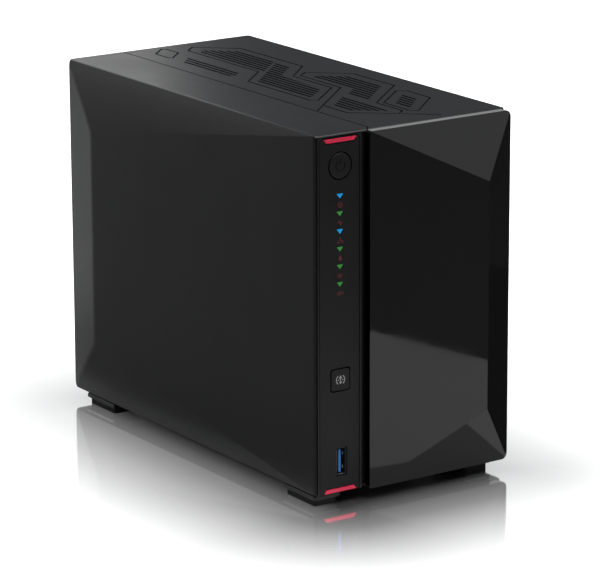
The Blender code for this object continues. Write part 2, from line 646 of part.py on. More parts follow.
def build_base():
    """Steel base plate with stand-offs for the main board."""
    base = box("base_plate", (-50.4, -98.0, BASE_Z), (50.4, 106.8, BASE_Z + 1.0), "steel")
    spots = [(-42, -24), (42, -24), (-42, 100), (42, 50), (-4, 52)]
    join(base, rods("stand_offs", [
        ("Z", (x, y, BASE_Z + 0.5), 3.0, MAIN_Z - GAP - BASE_Z - 0.5) for x, y in spots], None, 12))


PORTS = {                     # name: left x, width, height; all stand on the main board
    "dc_jack": (-45.0, 9.0, 11.0),
    "hdmi_port": (-32.0, 15.0, 6.2),
    "rear_usb": (-12.0, 14.0, 15.6),
    "lan_port_1": (7.0, 16.0, 13.6),
    "lan_port_2": (26.5, 16.0, 13.6),
}
LAN_CAVITY = (11.8, 8.4, 13.0)


def port_box(name):
    """Low and high x, z of a rear port."""
    left, width, height = PORTS[name]
    low_z = MAIN_TOP + GAP
    return (left, low_z), (left + width, low_z + height)


def build_ports():
    """Rear connectors along the edge of the main board."""
    for name in ("lan_port_1", "lan_port_2"):
        (x0, z0), (x1, z1) = port_box(name)
        port = box(name, (x0, PORT_REAR - 21, z0), (x1, PORT_REAR, z1), "steel")
        middle = (x0 + x1) / 2
        width, height, depth = LAN_CAVITY
        cavity = box(name + "_cavity", (middle - width / 2, PORT_REAR - depth, z0 + 3.6),
                     (middle + width / 2, PORT_REAR + 5, z0 + 3.6 + height))
        clip_way = box(name + "_clip_way", (middle - 3.2, PORT_REAR - depth + 1, z0 + 1.4),
                       (middle + 3.2, PORT_REAR + 5, z0 + 4.0))
        cut(port, cavity, clip_way)
    (x0, z0), (x1, z1) = port_box("hdmi_port")
    hdmi = box("hdmi_port", (x0, PORT_REAR - 12, z0), (x1, PORT_REAR, z1), "steel")
    lane = extrusion("hdmi_mouth", [[(x0 + 0.5, z1 - 0.5), (x1 - 0.5, z1 - 0.5), (x1 - 0.5, z0 + 2.2),
                                     (x1 - 2.2, z0 + 0.6), (x0 + 2.2, z0 + 0.6), (x0 + 0.5, z0 + 2.2)]],
                     "XZ", PORT_REAR - 9, PORT_REAR + 5)
    cut(hdmi, lane)
    join(hdmi, box("hdmi_tongue", (x0 + 2, PORT_REAR - 10, z0 + 2.8), (x1 - 2, PORT_REAR - 1, z0 + 4.0)))
    (x0, z0), (x1, z1) = port_box("dc_jack")
    jack = box("dc_jack", (x0, PORT_REAR - 14, z0), (x1, PORT_REAR, z1), "inner_plastic")
    centre = ((x0 + x1) / 2, (z0 + z1) / 2)
    cut(jack, rods("jack_bore", [("Y", (centre[0], PORT_REAR - 10, centre[1]), 3.15, 15)]))
    join(jack, rods("jack_pin", [("Y", (centre[0], PORT_REAR - 11, centre[1]), 1.0, 9.5)], None, 12))
    (x0, z0), (x1, z1) = port_box("rear_usb")
    middle = (x0 + x1) / 2
    levels = [z0 + 0.7, z0 + 8.3]
    mouths = [rectangle((x0 + 0.5, z), (x1 - 0.5, z + 6.6)) for z in levels]
    extrusion("rear_usb_shell", [rectangle((x0, z0), (x1, z1))] + mouths, "XZ", PORT_REAR - 17, PORT_REAR,
              "steel")
    for number, z in enumerate(levels, 1):
        tongue = box("rear_usb_tongue_%d" % number, (x0 + 0.9, PORT_REAR - 16.8, z + GAP),
                     (x1 - 0.9, PORT_REAR - 11, z + 6.3), "usb_blue")
        join(tongue, box("rear_tip_%d" % number, (middle - 5.6, PORT_REAR - 12, z + 3.4),
                         (middle + 5.6, PORT_REAR - 1.0, z + 5.2)))


def arc_slot(middle, inner, outer, start, end, steps):
    """Outline of one curved slot of the fan guard."""
    angles = [start + (end - start) * k / steps for k in range(steps + 1)]
    loop = [(middle[0] + outer * math.cos(a), middle[1] + outer * math.sin(a)) for a in angles]
    loop += [(middle[0] + inner * math.cos(a), middle[1] + inner * math.sin(a)) for a in reversed(angles)]
    return loop


def guard_loops():
    """Curved slots in rings, four to a ring, with spokes left between them."""
    middle = (FAN_X, FAN_Z)
    loops = []
    for ring in range(6):
        inner = 12.0 + ring * 4.4
        outer = inner + 3.2
        spoke = math.asin(1.4 / inner)
        for quarter in range(4):
            start = math.pi / 4 + quarter * math.pi / 2
            loops.append(arc_slot(middle, inner, outer, start + spoke, start + math.pi / 2 - spoke, 6))
    return loops


def fan_corners():
    """Centres of the four fan screws."""
    reach = FAN_HOLE_PITCH / 2
    return [(FAN_X + i * reach, FAN_Z + j * reach) for i in (-1, 1) for j in (-1, 1)]


CASE_SCREWS = [(46.0, 160.0), (-44.0, 50.0)]


def build_rear():
    """Steel rear panel, port plate, fan and screws."""
    side = HALF_W - WALL - 0.5
    upper = rectangle((-side, PANEL_SPLIT + GAP), (side, TOP_Z - WALL - 0.4))
    holes = [circle(spot, 2.2, 12) for spot in fan_corners() + CASE_SCREWS]
    lock_slot = [round_rectangle((-44.0, 70.0), 3.2, 7.2, 1.0, 2)]
    extrusion("rear_panel", [upper] + holes + lock_slot + guard_loops(), "XZ", *PANEL_Y, "painted_steel")
    lower = rectangle((-side, FOOT_H + WALL + 0.4), (side, PANEL_SPLIT))
    mouths = []
    for name in PORTS:
        low, high = port_box(name)
        mouths.append(rectangle((low[0] - 0.4, low[1] - 0.2), (high[0] + 0.4, high[1] + 0.4)))
    extrusion("port_plate", [lower] + mouths, "XZ", *PANEL_Y, "painted_steel")
    build_fan()
    for number, spot in enumerate(fan_corners(), 1):
        screw("fan_screw_%d" % number, spot, 3.2, 2.0, 1.7, 10.0)
    for number, spot in enumerate(CASE_SCREWS, 1):
        screw("case_screw_%d" % number, spot, 3.4, 2.4, 1.7, 5.0)


def screw(name, spot, head_r, head_h, shank_r, shank_l):
    """A pan-head screw through the rear panel, turned about its own axis, with a cross recess."""
    profile = [(0.0, head_h), (head_r * 0.75, head_h), (head_r, head_h * 0.6), (head_r, 0.0),
               (shank_r, 0.0), (shank_r, -shank_l), (0.0, -shank_l)]
    builder = bmesh.new()
    points = [builder.verts.new((r, 0.0, z)) for r, z in profile]
    edges = [builder.edges.new(pair) for pair in zip(points, points[1:])]
    bmesh.ops.spin(builder, geom=points + edges, cent=(0, 0, 0), axis=(0, 0, 1), angle=2 * math.pi, steps=16,
                   use_merge=True)
    bmesh.ops.remove_doubles(builder, verts=builder.verts, dist=0.01)
    upright = Matrix.Rotation(-math.pi / 2, 3, "X")
    bmesh.ops.rotate(builder, verts=builder.verts, cent=(0, 0, 0), matrix=upright)
    bmesh.ops.translate(builder, verts=builder.verts, vec=(spot[0], PANEL_Y[1] + GAP, spot[1]))
    item = add_object(name, mesh_from(builder, name), "steel")
    reach = head_r * 0.55
    top = PANEL_Y[1] + GAP + head_h
    cross = boxes(name + "_cross", [
        ((spot[0] - reach, top - 1.0, spot[1] - 0.45), (spot[0] + reach, top + 2, spot[1] + 0.45))])
    cross_up = boxes(name + "_cross_up", [
        ((spot[0] - 0.45, top - 1.0, spot[1] - reach), (spot[0] + 0.45, top + 2, spot[1] + reach))])
    cut(item, cross, cross_up)


def build_fan():
    """Fan frame with motor seat and struts, and a seven-blade rotor on a short shaft."""
    rear = PANEL_Y[0] - GAP
    front = rear - FAN_DEPTH
    half = FAN_SIDE / 2
    outline = round_rectangle((FAN_X, FAN_Z), FAN_SIDE, FAN_SIDE, 4.0)
    holes = [circle(spot, 2.2, 12) for spot in fan_corners()]
    frame = extrusion("fan_frame", [outline, circle((FAN_X, FAN_Z), FAN_BORE, 40)] + holes, "XZ", front, rear,
                      "inner_plastic")
    seat = rods("motor_seat", [("Y", (FAN_X, rear - 2.4, FAN_Z), 16.0, 2.4)])
    reach = FAN_BORE + 0.8
    struts = boxes("fan_struts", [
        ((FAN_X - reach, rear - 2.3, FAN_Z - 1.6), (FAN_X + reach, rear - 0.1, FAN_Z + 1.6))])
    struts_up = boxes("fan_struts_up", [
        ((FAN_X - 1.5, rear - 2.2, FAN_Z - reach), (FAN_X + 1.5, rear - 0.2, FAN_Z + reach))])
    join(frame, seat, struts, struts_up)
    cut(frame, rods("shaft_hole", [("Y", (FAN_X, rear - 10, FAN_Z), 2.0, 20)], None, 16))
    hub_front, hub_rear = front + 2.0, rear - 2.8
    rotor = rods("fan_rotor", [("Y", (FAN_X, hub_front, FAN_Z), 16.5, hub_rear - hub_front)],
                 "inner_plastic", 28)
    builder = bmesh.new()
    for blade in range(BLADES):
        stock = bmesh.ops.create_cube(builder, size=1.0)["verts"]
        bmesh.ops.scale(builder, verts=stock, vec=(21.5, 20.0, 1.7))
        pitch = Matrix.Rotation(math.radians(38), 4, "X")
        out = Matrix.Translation((26.0, 0, 0))
        turn = Matrix.Rotation(2 * math.pi * blade / BLADES, 4, "Y")
        place = Matrix.Translation((FAN_X, (hub_front + hub_rear) / 2, FAN_Z)) @ turn @ out @ pitch
        bmesh.ops.transform(builder, verts=stock, matrix=place)
    blades = add_object("fan_blades", mesh_from(builder, "fan_blades"))
    shaft = rods("fan_shaft", [("Y", (FAN_X, hub_rear - 2, FAN_Z), 1.6, 4.2)], None, 12)
    join(rotor, blades, shaft)


FEET = [(-46.0, -89.3, 12.4), (40.5, -89.3, 13.2), (-46.0, 87.0, 12.4), (40.5, 87.0, 13.2)]


def build_feet():
    """Four feet: a wide plinth over a narrower rubber pad."""
    for number, (x, y, width) in enumerate(FEET, 1):
        name = "foot_%d" % number
        half = width / 2
        foot = box(name, (x - half, y - 11.8, 0.0), (x + half, y + 11.8, 4.0), "rubber")
        plinth = box(name + "_plinth", (x - half - 1.1, y - 13.0, 2.9),
                     (x + half + 1.1, y + 13.0, FOOT_H - GAP))
        join(foot, plinth)


build_shells()
build_front_frame()
build_strip()
build_cover()
build_cage()
for tray_number, tray_left in enumerate(TRAY_X, 1):
    build_tray(tray_number, tray_left)
build_boards()
build_base()
build_ports()
build_rear()
build_feet()
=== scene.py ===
"""Finish of a two-bay network storage enclosure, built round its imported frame.

Lengths are millimetres in the drawing code and become metres in mesh_from. The frame's axes are +X right
seen from the front, -Y front and +Z up, with the floor at z = 0.
"""

import json
import math

import bmesh
import bpy
from mathutils import Matrix, Vector

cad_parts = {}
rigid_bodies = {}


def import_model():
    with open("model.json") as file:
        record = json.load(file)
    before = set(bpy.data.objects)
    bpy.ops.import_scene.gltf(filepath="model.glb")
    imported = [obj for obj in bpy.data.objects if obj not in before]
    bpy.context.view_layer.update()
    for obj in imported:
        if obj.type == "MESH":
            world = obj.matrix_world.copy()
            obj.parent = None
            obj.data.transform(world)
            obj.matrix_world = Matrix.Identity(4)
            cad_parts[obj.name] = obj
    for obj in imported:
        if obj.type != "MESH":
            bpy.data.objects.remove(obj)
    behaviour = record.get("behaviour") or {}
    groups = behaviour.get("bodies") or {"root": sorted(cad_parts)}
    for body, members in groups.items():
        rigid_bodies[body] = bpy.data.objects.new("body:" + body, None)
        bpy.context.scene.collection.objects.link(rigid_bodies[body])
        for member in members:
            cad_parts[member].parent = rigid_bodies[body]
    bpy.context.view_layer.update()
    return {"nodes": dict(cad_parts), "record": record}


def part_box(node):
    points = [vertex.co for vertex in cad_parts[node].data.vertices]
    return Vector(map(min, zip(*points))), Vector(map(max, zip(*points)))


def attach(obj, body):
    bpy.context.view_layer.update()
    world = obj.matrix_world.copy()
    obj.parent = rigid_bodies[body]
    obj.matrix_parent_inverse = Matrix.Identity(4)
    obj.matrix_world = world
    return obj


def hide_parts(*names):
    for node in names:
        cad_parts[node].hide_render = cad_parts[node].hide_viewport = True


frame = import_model()

bl_info = {
    "name": "Network Storage Enclosure Finish",
    "version": (1, 0, 0),
    "blender": (4, 5, 0),
    "location": "View3D > Sidebar > Enclosure",
    "description": "Builds the shells, cover, control strip and finishes of a two-bay storage enclosure",
    "category": "Object",
}

MM = 0.001
HAIR = 0.3                    # usual gap between neighbouring pieces


def node_box(name):
    """Low and high corner of a frame node, in millimetres."""
    low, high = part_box(name)
    return Vector(low) / MM, Vector(high) / MM


def span_middle(low, high):
    """Middle of the span between two corners."""
    return (low + high) / 2


# ---------------------------------------------------------------- settings

class EnclosureCasingSettings(bpy.types.PropertyGroup):
    """Sizes and colour of the two shells and the bezel."""

    colour: bpy.props.FloatVectorProperty(
        name="Shell colour", description="Colour of the textured shell plastic",
        subtype="COLOR", size=3, min=0.0, max=1.0, default=(0.0125, 0.0125, 0.0132))
    wall: bpy.props.FloatProperty(
        name="Wall", description="Thickness of the moulded shells", default=0.0024, unit="LENGTH")
    edge_round: bpy.props.FloatProperty(
        name="Edge rounding", description="Rounding of the shells' outer edges", default=0.0016,
        unit="LENGTH")
    ridge_y: bpy.props.FloatProperty(
        name="Ridge place", description="Where the side facets meet, along the case", default=0.0848,
        unit="LENGTH")
    ridge_drop: bpy.props.FloatProperty(
        name="Ridge drop", description="Roof to the top of the side ridge", default=0.0316, unit="LENGTH")
    ridge_rise: bpy.props.FloatProperty(
        name="Ridge rise", description="Underside to the foot of the side ridge", default=0.0292,
        unit="LENGTH")
    seam_width: bpy.props.FloatProperty(
        name="Seam width", description="Shadow gap between the two shells", default=0.0007, unit="LENGTH")
    groove_width: bpy.props.FloatProperty(
        name="Groove width", description="Width of the lines engraved in the roof", default=0.0010,
        unit="LENGTH")
    groove_depth: bpy.props.FloatProperty(
        name="Groove depth", description="Depth of the lines engraved in the roof", default=0.0007,
        unit="LENGTH")
    louvre_pitch: bpy.props.FloatProperty(
        name="Louvre pitch", description="Distance from one roof louvre to the next", default=0.00297,
        unit="LENGTH")
    louvre_width: bpy.props.FloatProperty(
        name="Louvre width", description="Open width of one roof louvre", default=0.0015, unit="LENGTH")


class EnclosureCoverSettings(bpy.types.PropertyGroup):
    """Sizes and colour of the gloss cover."""

    colour: bpy.props.FloatVectorProperty(
        name="Cover colour", description="Colour of the gloss cover",
        subtype="COLOR", size=3, min=0.0, max=1.0, default=(0.0035, 0.0035, 0.0038))
    corner: bpy.props.FloatProperty(
        name="Corner rounding", description="Rounding of the cover's outer corners", default=0.003,
        unit="LENGTH")
    edge_round: bpy.props.FloatProperty(
        name="Edge rounding", description="Rounding of the cover's rim", default=0.0009, unit="LENGTH")
    ridge_round: bpy.props.FloatProperty(
        name="Ridge rounding", description="Rounding between the cover's facets", default=0.0004,
        unit="LENGTH")
    wall: bpy.props.FloatProperty(
        name="Wall", description="Thickness of the cover's skin", default=0.002, unit="LENGTH")
    peak_x: bpy.props.FloatProperty(
        name="Peak place", description="Where the facets meet, across the front", default=0.0387,
        unit="LENGTH")
    peak_top: bpy.props.FloatProperty(
        name="Peak top", description="Height of the upper end of the facets' ridge", default=0.1433,
        unit="LENGTH")
    peak_foot: bpy.props.FloatProperty(
        name="Peak foot", description="Height of the lower end of the facets' ridge", default=0.0337,
        unit="LENGTH")
    rise: bpy.props.FloatProperty(
        name="Peak rise", description="How far the peak stands in front of the rim", default=0.004,
        unit="LENGTH")


class EnclosureStripSettings(bpy.types.PropertyGroup):
    """Sizes and colours of the control strip."""

    panel_colour: bpy.props.FloatVectorProperty(
        name="Strip colour", description="Colour of the satin control strip",
        subtype="COLOR", size=3, min=0.0, max=1.0, default=(0.0125, 0.0125, 0.013))
    accent_colour: bpy.props.FloatVectorProperty(
        name="Accent colour", description="Colour of the inlaid bars and the latch keys",
        subtype="COLOR", size=3, min=0.0, max=1.0, default=(0.78, 0.026, 0.08))
    mark_colour: bpy.props.FloatVectorProperty(
        name="Mark colour", description="Colour of the printed marks",
        subtype="COLOR", size=3, min=0.0, max=1.0, default=(0.14, 0.014, 0.018))
    blue_light: bpy.props.FloatVectorProperty(
        name="Blue indicator", description="Colour of the blue indicators",
        subtype="COLOR", size=3, min=0.0, max=1.0, default=(0.0, 0.42, 0.98))
    green_light: bpy.props.FloatVectorProperty(
        name="Green indicator", description="Colour of the green indicators",
        subtype="COLOR", size=3, min=0.0, max=1.0, default=(0.045, 0.32, 0.045))
    indicators: bpy.props.IntProperty(
        name="Indicators", description="How many indicators the strip has", default=6, min=1, max=8)
    power_radius: bpy.props.FloatProperty(
        name="Power key radius", description="Radius of the round key", default=0.006, unit="LENGTH")
    copy_side: bpy.props.FloatProperty(
        name="Copy key side", description="Side of the square key", default=0.0100, unit="LENGTH")
    key_gap: bpy.props.FloatProperty(
        name="Key gap", description="Shadow gap round the keys", default=0.0006, unit="LENGTH")


class EnclosureStageSettings(bpy.types.PropertyGroup):
    """Floor, lights and camera."""

    floor_colour: bpy.props.FloatVectorProperty(
        name="Floor colour", description="Colour of the pale floor",
        subtype="COLOR", size=3, min=0.0, max=1.0, default=(0.86, 0.86, 0.86))
    floor_lift: bpy.props.FloatProperty(
        name="Floor lift", description="Brightness added to the floor away from the case",
        default=1.0, min=0.0)
    floor_gloss: bpy.props.FloatProperty(
        name="Floor gloss", description="How much of a mirror the floor is beside the case",
        default=0.95, min=0.0, max=1.0)
    floor_reach: bpy.props.FloatProperty(
        name="Floor reach", description="Distance over which the mirror image fades",
        default=0.145, min=0.01, unit="LENGTH")
    # Tones of the floor patches that reflections see: painted reflections on the cover and the left side; the
    # camera sees the patches as floor.
    front_painted_reflection: bpy.props.FloatVectorProperty(
        name="Front painted reflection", description="What the cover mirrors in front of the case",
        subtype="COLOR", size=3, min=0.0, max=1.0, default=(0.15, 0.15, 0.15))
    right_painted_reflection: bpy.props.FloatVectorProperty(
        name="Right painted reflection", description="What the cover's right facet mirrors",
        subtype="COLOR", size=3, min=0.0, max=1.0, default=(0.08, 0.08, 0.08))
    corner_painted_reflection: bpy.props.FloatVectorProperty(
        name="Corner painted reflection", description="What the foot of the cover's right facet mirrors",
        subtype="COLOR", size=3, min=0.0, max=1.0, default=(0.045, 0.045, 0.045))
    near_painted_reflection: bpy.props.FloatVectorProperty(
        name="Near painted reflection", description="What the cover's lower facet mirrors",
        subtype="COLOR", size=3, min=0.0, max=1.0, default=(0.40, 0.40, 0.40))
    side_painted_reflection: bpy.props.FloatVectorProperty(
        name="Side painted reflection", description="What the left side mirrors beside the case",
        subtype="COLOR", size=3, min=0.0, max=1.0, default=(0.27, 0.27, 0.27))
    lens: bpy.props.FloatProperty(
        name="Lens", description="Focal length of the camera, in millimetres", default=211.12, min=20.0)
    turn: bpy.props.FloatProperty(
        name="Camera turn", description="How far the camera is turned from straight on",
        default=math.radians(34.261), subtype="ANGLE")
    tilt: bpy.props.FloatProperty(
        name="Camera tilt", description="How far the camera looks down",
        default=math.radians(15.128), subtype="ANGLE")
    roll: bpy.props.FloatProperty(
        name="Camera roll", description="How far the camera leans", default=math.radians(-0.222),
        subtype="ANGLE")
    place: bpy.props.FloatVectorProperty(
        name="Camera place", description="Where the camera stands", size=3, subtype="TRANSLATION",
        default=(-0.9226, -1.3674, 0.5204))
    key_power: bpy.props.FloatProperty(
        name="Overhead light", description="Power of the overhead softbox, in watts", default=26.0, min=0.0)
    rear_power: bpy.props.FloatProperty(
        name="Rear light", description="Power of the softbox behind the case, in watts", default=3.6,
        min=0.0)
    roof_power: bpy.props.FloatProperty(
        name="Roof light", description="Power of the small softbox behind the roof, in watts", default=0.25,
        min=0.0)
    bevel_power: bpy.props.FloatProperty(
        name="Bevel light", description="Power of the softbox that the upper bevel mirrors, in watts",
        default=1.0, min=0.0)
    front_power: bpy.props.FloatProperty(
        name="Front light", description="Power of the low softbox in front, in watts", default=0.7, min=0.0)
    side_power: bpy.props.FloatProperty(
        name="Side light", description="Power of the low softbox behind the left side, in watts",
        default=1.5, min=0.0)


# ---------------------------------------------------------------- drawing helpers

def new_item(name, mesh):
    """Put a mesh in the scene as an object."""
    item = bpy.data.objects.new(name, mesh)
    bpy.context.scene.collection.objects.link(item)
    return item


def mesh_from(builder, name):
    """Turn a bmesh drawn in millimetres into a mesh in metres."""
    bmesh.ops.scale(builder, vec=(MM, MM, MM), verts=builder.verts)
    bmesh.ops.recalc_face_normals(builder, faces=builder.faces)
    mesh = bpy.data.meshes.new(name)
    builder.to_mesh(mesh)
    builder.free()
    return mesh


def add_box(builder, low, high, slot=0):
    """Add a box to a bmesh."""
    size = [b - a for a, b in zip(low, high)]
    middle = [(a + b) / 2 for a, b in zip(low, high)]
    place = Matrix.Translation(middle) @ Matrix.Diagonal((*size, 1.0))
    made = bmesh.ops.create_cube(builder, size=1.0, matrix=place)
    mark_slot(made["verts"], slot)


def mark_slot(corners, slot):
    """Give the faces round some corners a material slot."""
    for corner in corners:
        for face in corner.link_faces:
            face.material_index = slot


AXIS_TURN = {
    "X": Matrix.Rotation(math.pi / 2, 4, "Y"),
    "Y": Matrix.Rotation(-math.pi / 2, 4, "X"),
    "Z": Matrix.Identity(4),
}


def add_rod(builder, axis, start, radius, length, segments=32, slot=0):
    """Add a round bar that runs from start along an axis."""
    middle = Vector(start)
    middle["XYZ".index(axis)] += length / 2
    made = bmesh.ops.create_cone(
        builder, cap_ends=True, segments=segments, radius1=radius, radius2=radius, depth=length,
        matrix=Matrix.Translation(middle) @ AXIS_TURN[axis])
    mark_slot(made["verts"], slot)


def add_turned(builder, profile, middle, axis="Y", segments=64, slot=0):
    """Add a turned shape: profile pairs are radius and distance along the axis from middle."""
    rings = []
    turn = Matrix.Translation(middle) @ AXIS_TURN[axis]
    for radius, height in profile:
        if radius < 1e-6:
            rings.append([builder.verts.new(turn @ Vector((0.0, 0.0, height)))])
            continue
        ring = []
        for k in range(segments):
            angle = 2 * math.pi * k / segments
            spot = Vector((radius * math.cos(angle), radius * math.sin(angle), height))
            ring.append(builder.verts.new(turn @ spot))
        rings.append(ring)
    for lower, upper in zip(rings, rings[1:]):
        for k in range(segments):
            a = lower[k % len(lower)]
            b = lower[(k + 1) % len(lower)]
            c = upper[(k + 1) % len(upper)]
            d = upper[k % len(upper)]
            corners = list(dict.fromkeys((a, b, c, d)))
            if len(corners) > 2:
                face = builder.faces.new(corners)
                face.material_index = slot


def box_item(name, *corner_pairs):
    """An object made of boxes."""
    builder = bmesh.new()
    for low, high in corner_pairs:
        add_box(builder, low, high)
    return new_item(name, mesh_from(builder, name))


def rod_item(name, stations, segments=32):
    """An object made of round bars given as axis, start, radius and length."""
    builder = bmesh.new()
    for axis, start, radius, length in stations:
        add_rod(builder, axis, start, radius, length, segments)
    return new_item(name, mesh_from(builder, name))


def hull_builder(points):
    """A bmesh of the flat-faced solid round a few corner points."""
    builder = bmesh.new()
    for point in points:
        builder.verts.new(point)
    bmesh.ops.convex_hull(builder, input=builder.verts)
    bmesh.ops.dissolve_limit(builder, angle_limit=0.002, verts=builder.verts, edges=builder.edges)
    return builder


PLANE_TURN = {
    "XY": (0.0, 0.0, 0.0),
    "XZ": (math.pi / 2, 0.0, 0.0),
    "YZ": (math.pi / 2, 0.0, math.pi / 2),
}
PLANE_NORMAL = {"XY": 2, "XZ": 1, "YZ": 0}


def prism(name, loops, plane, start, end):
    """Flat outlines, where a loop inside another is a hole, carried from start to end."""
    curve = bpy.data.curves.new(name, "CURVE")
    curve.dimensions = "2D"
    curve.fill_mode = "BOTH"
    curve.extrude = abs(end - start) / 2 * MM
    for loop in loops:
        spline = curve.splines.new("POLY")
        spline.points.add(len(loop) - 1)
        for spot, (u, v) in zip(spline.points, loop):
            spot.co = (u * MM, v * MM, 0.0, 1.0)
        spline.use_cyclic_u = True
    guide = new_item(name + "_outline", curve)
    guide.rotation_euler = PLANE_TURN[plane]
    guide.location[PLANE_NORMAL[plane]] = (start + end) / 2 * MM
    bpy.context.view_layer.update()
    depsgraph = bpy.context.evaluated_depsgraph_get()
    mesh = bpy.data.meshes.new_from_object(guide.evaluated_get(depsgraph))
    mesh.transform(guide.matrix_world)
    mesh.name = name
    bpy.data.objects.remove(guide, do_unlink=True)
    bpy.data.curves.remove(curve)
    builder = bmesh.new()
    builder.from_mesh(mesh)
    bmesh.ops.remove_doubles(builder, verts=builder.verts, dist=0.005 * MM)
    bmesh.ops.recalc_face_normals(builder, faces=builder.faces)
    builder.to_mesh(mesh)
    builder.free()
    return new_item(name, mesh)


def settle(item):
    """Make an object's modifiers permanent."""
    bpy.context.view_layer.update()
    depsgraph = bpy.context.evaluated_depsgraph_get()
    mesh = bpy.data.meshes.new_from_object(item.evaluated_get(depsgraph))
    item.modifiers.clear()
    item.data = mesh


def combine(item, tools, operation, keep=()):
    """Carve with or join other solids by exact Booleans, then drop them."""
    for tool in tools:
        step = item.modifiers.new(operation.lower(), "BOOLEAN")
        step.operation = operation
        step.solver = "EXACT"
        step.object = tool
        if item.data.materials:
            step.material_mode = "INDEX"
    settle(item)
    for tool in tools:
        if tool not in keep:
            bpy.data.objects.remove(tool, do_unlink=True)


def carve(item, *tools, keep=()):
    """Take solids away from an object."""
    combine(item, tools, "DIFFERENCE", keep)


def unite(item, *tools):
    """Join solids to an object."""
    combine(item, tools, "UNION")


def merge(name, items):
    """Put several objects' meshes side by side in one object."""
    builder = bmesh.new()
    for item in items:
        builder.from_mesh(item.data)
        bpy.data.objects.remove(item, do_unlink=True)
    mesh = bpy.data.meshes.new(name)
    builder.to_mesh(mesh)
    builder.free()
    return new_item(name, mesh)


def polish(item, width, segments=3, angle=40):
    """Round sharp edges by a width in millimetres and shade the faces as moulded surfaces."""
    if width:
        rounding = item.modifiers.new("rounding", "BEVEL")
        rounding.width = width * MM
        rounding.segments = segments
        rounding.limit_method = "ANGLE"
        rounding.angle_limit = math.radians(angle)
        rounding.miter_outer = "MITER_ARC"
        settle(item)
    mesh = item.data
    mesh.polygons.foreach_set("use_smooth", [True] * len(mesh.polygons))
    mesh.set_sharp_from_angle(angle=math.radians(36))
    shading = item.modifiers.new("even_shading", "WEIGHTED_NORMAL")
    shading.keep_sharp = True
    return item


def crease_facets(item, smallest):
    """Keep a crisp crease where two faces larger than smallest (mm2) meet at a shallow angle."""
    builder = bmesh.new()
    builder.from_mesh(item.data)
    for edge in builder.edges:
        if len(edge.link_faces) == 2 and edge.calc_face_angle() > math.radians(3):
            if min(face.calc_area() for face in edge.link_faces) > smallest * MM * MM:
                edge.smooth = False
    builder.to_mesh(item.data)
    builder.free()


def rectangle(low, high):
    """Corners of an upright rectangle."""
    return [(low[0], low[1]), (high[0], low[1]), (high[0], high[1]), (low[0], high[1])]


def round_rectangle(middle, width, height, radius, steps=5):
    """A rectangle with round corners."""
    loop = []
    for quarter in range(4):
        side_x = 1 if quarter in (0, 3) else -1
        side_y = 1 if quarter in (0, 1) else -1
        for step in range(steps + 1):
            angle = (quarter + step / steps) * math.pi / 2
            loop.append((middle[0] + side_x * (width / 2 - radius) + radius * math.cos(angle),
                         middle[1] + side_y * (height / 2 - radius) + radius * math.sin(angle)))
    return loop


def circle(middle, radius, segments=48):
    """A round outline."""
    turns = [2 * math.pi * k / segments for k in range(segments)]
    return [(middle[0] + radius * math.cos(a), middle[1] + radius * math.sin(a)) for a in turns]


def arc_band(middle, inner, outer, start, end, steps=16):
    """Outline of part of a ring, between two angles in degrees."""
    angles = [math.radians(start + (end - start) * k / steps) for k in range(steps + 1)]
    loop = [(middle[0] + outer * math.cos(a), middle[1] + outer * math.sin(a)) for a in angles]
    loop += [(middle[0] + inner * math.cos(a), middle[1] + inner * math.sin(a)) for a in reversed(angles)]
    return loop


def ribbon(points, width, closed=False):
    """Outline loops of a line of even width with mitred corners."""
    count = len(points)
    sides = []
    for side in (1, -1):
        line = []
        for k, point in enumerate(points):
            here = Vector(point)
            before = Vector(points[(k - 1) % count])
            after = Vector(points[(k + 1) % count])
            if not closed and k == 0:
                before = here * 2 - after
            if not closed and k == count - 1:
                after = here * 2 - before
            run_in = (here - before).normalized()
            run_out = (after - here).normalized()
            normal_in = Vector((-run_in.y, run_in.x))
            normal_out = Vector((-run_out.y, run_out.x))
            mitre = (normal_in + normal_out).normalized()
            reach = width / 2 / max(mitre.dot(normal_in), 0.3)
            spot = here + mitre * reach * side
            line.append((spot.x, spot.y))
        sides.append(line)
    if closed:
        return sides
    return [sides[0] + sides[1][::-1]]


def fit(item, body, slot, finishes, *nodes):
    """Give a piece its finishes and the body it rides on, and hide the nodes it stands for; the material slot
    argument is not used.
    """
    for name in finishes:
        item.data.materials.append(finish(name))
    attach(item, body)
    if nodes:
        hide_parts(*nodes)
    return item


# ---------------------------------------------------------------- shader node groups

FLOAT = "NodeSocketFloat"
VECTOR = "NodeSocketVector"


def new_group(name, inputs, outputs):
    """An empty shader node group with its named inputs and outputs."""
    tree = bpy.data.node_groups.new(name, "ShaderNodeTree")
    for label, kind, default in inputs:
        socket = tree.interface.new_socket(label, in_out="INPUT", socket_type=kind)
        socket.default_value = default
    for label in outputs:
        tree.interface.new_socket(label, in_out="OUTPUT", socket_type=FLOAT)
    entry = tree.nodes.new("NodeGroupInput")
    leave = tree.nodes.new("NodeGroupOutput")
    return tree, entry, leave


def add_node(tree, kind, values=None, **settings):
    """Add a node, with its sockets' values and its own settings."""
    item = tree.nodes.new(kind)
    for key, value in settings.items():
        setattr(item, key, value)
    for key, value in (values or {}).items():
        item.inputs[key].default_value = value
    return item


def noise_at(tree, size_socket, enlarge, detail):
    """Noise in the piece's own coordinates, its size given in metres by a socket times enlarge."""
    place = add_node(tree, "ShaderNodeTexCoord")
    bigger = add_node(tree, "ShaderNodeMath", {1: enlarge}, operation="MULTIPLY")
    tree.links.new(size_socket, bigger.inputs[0])
    scale = add_node(tree, "ShaderNodeMath", {0: 1.0}, operation="DIVIDE")
    tree.links.new(bigger.outputs[0], scale.inputs[1])
    noise = add_node(tree, "ShaderNodeTexNoise", {"Detail": detail, "Roughness": 0.55})
    tree.links.new(place.outputs["Object"], noise.inputs["Vector"])
    tree.links.new(scale.outputs[0], noise.inputs["Scale"])
    return noise.outputs["Fac"]


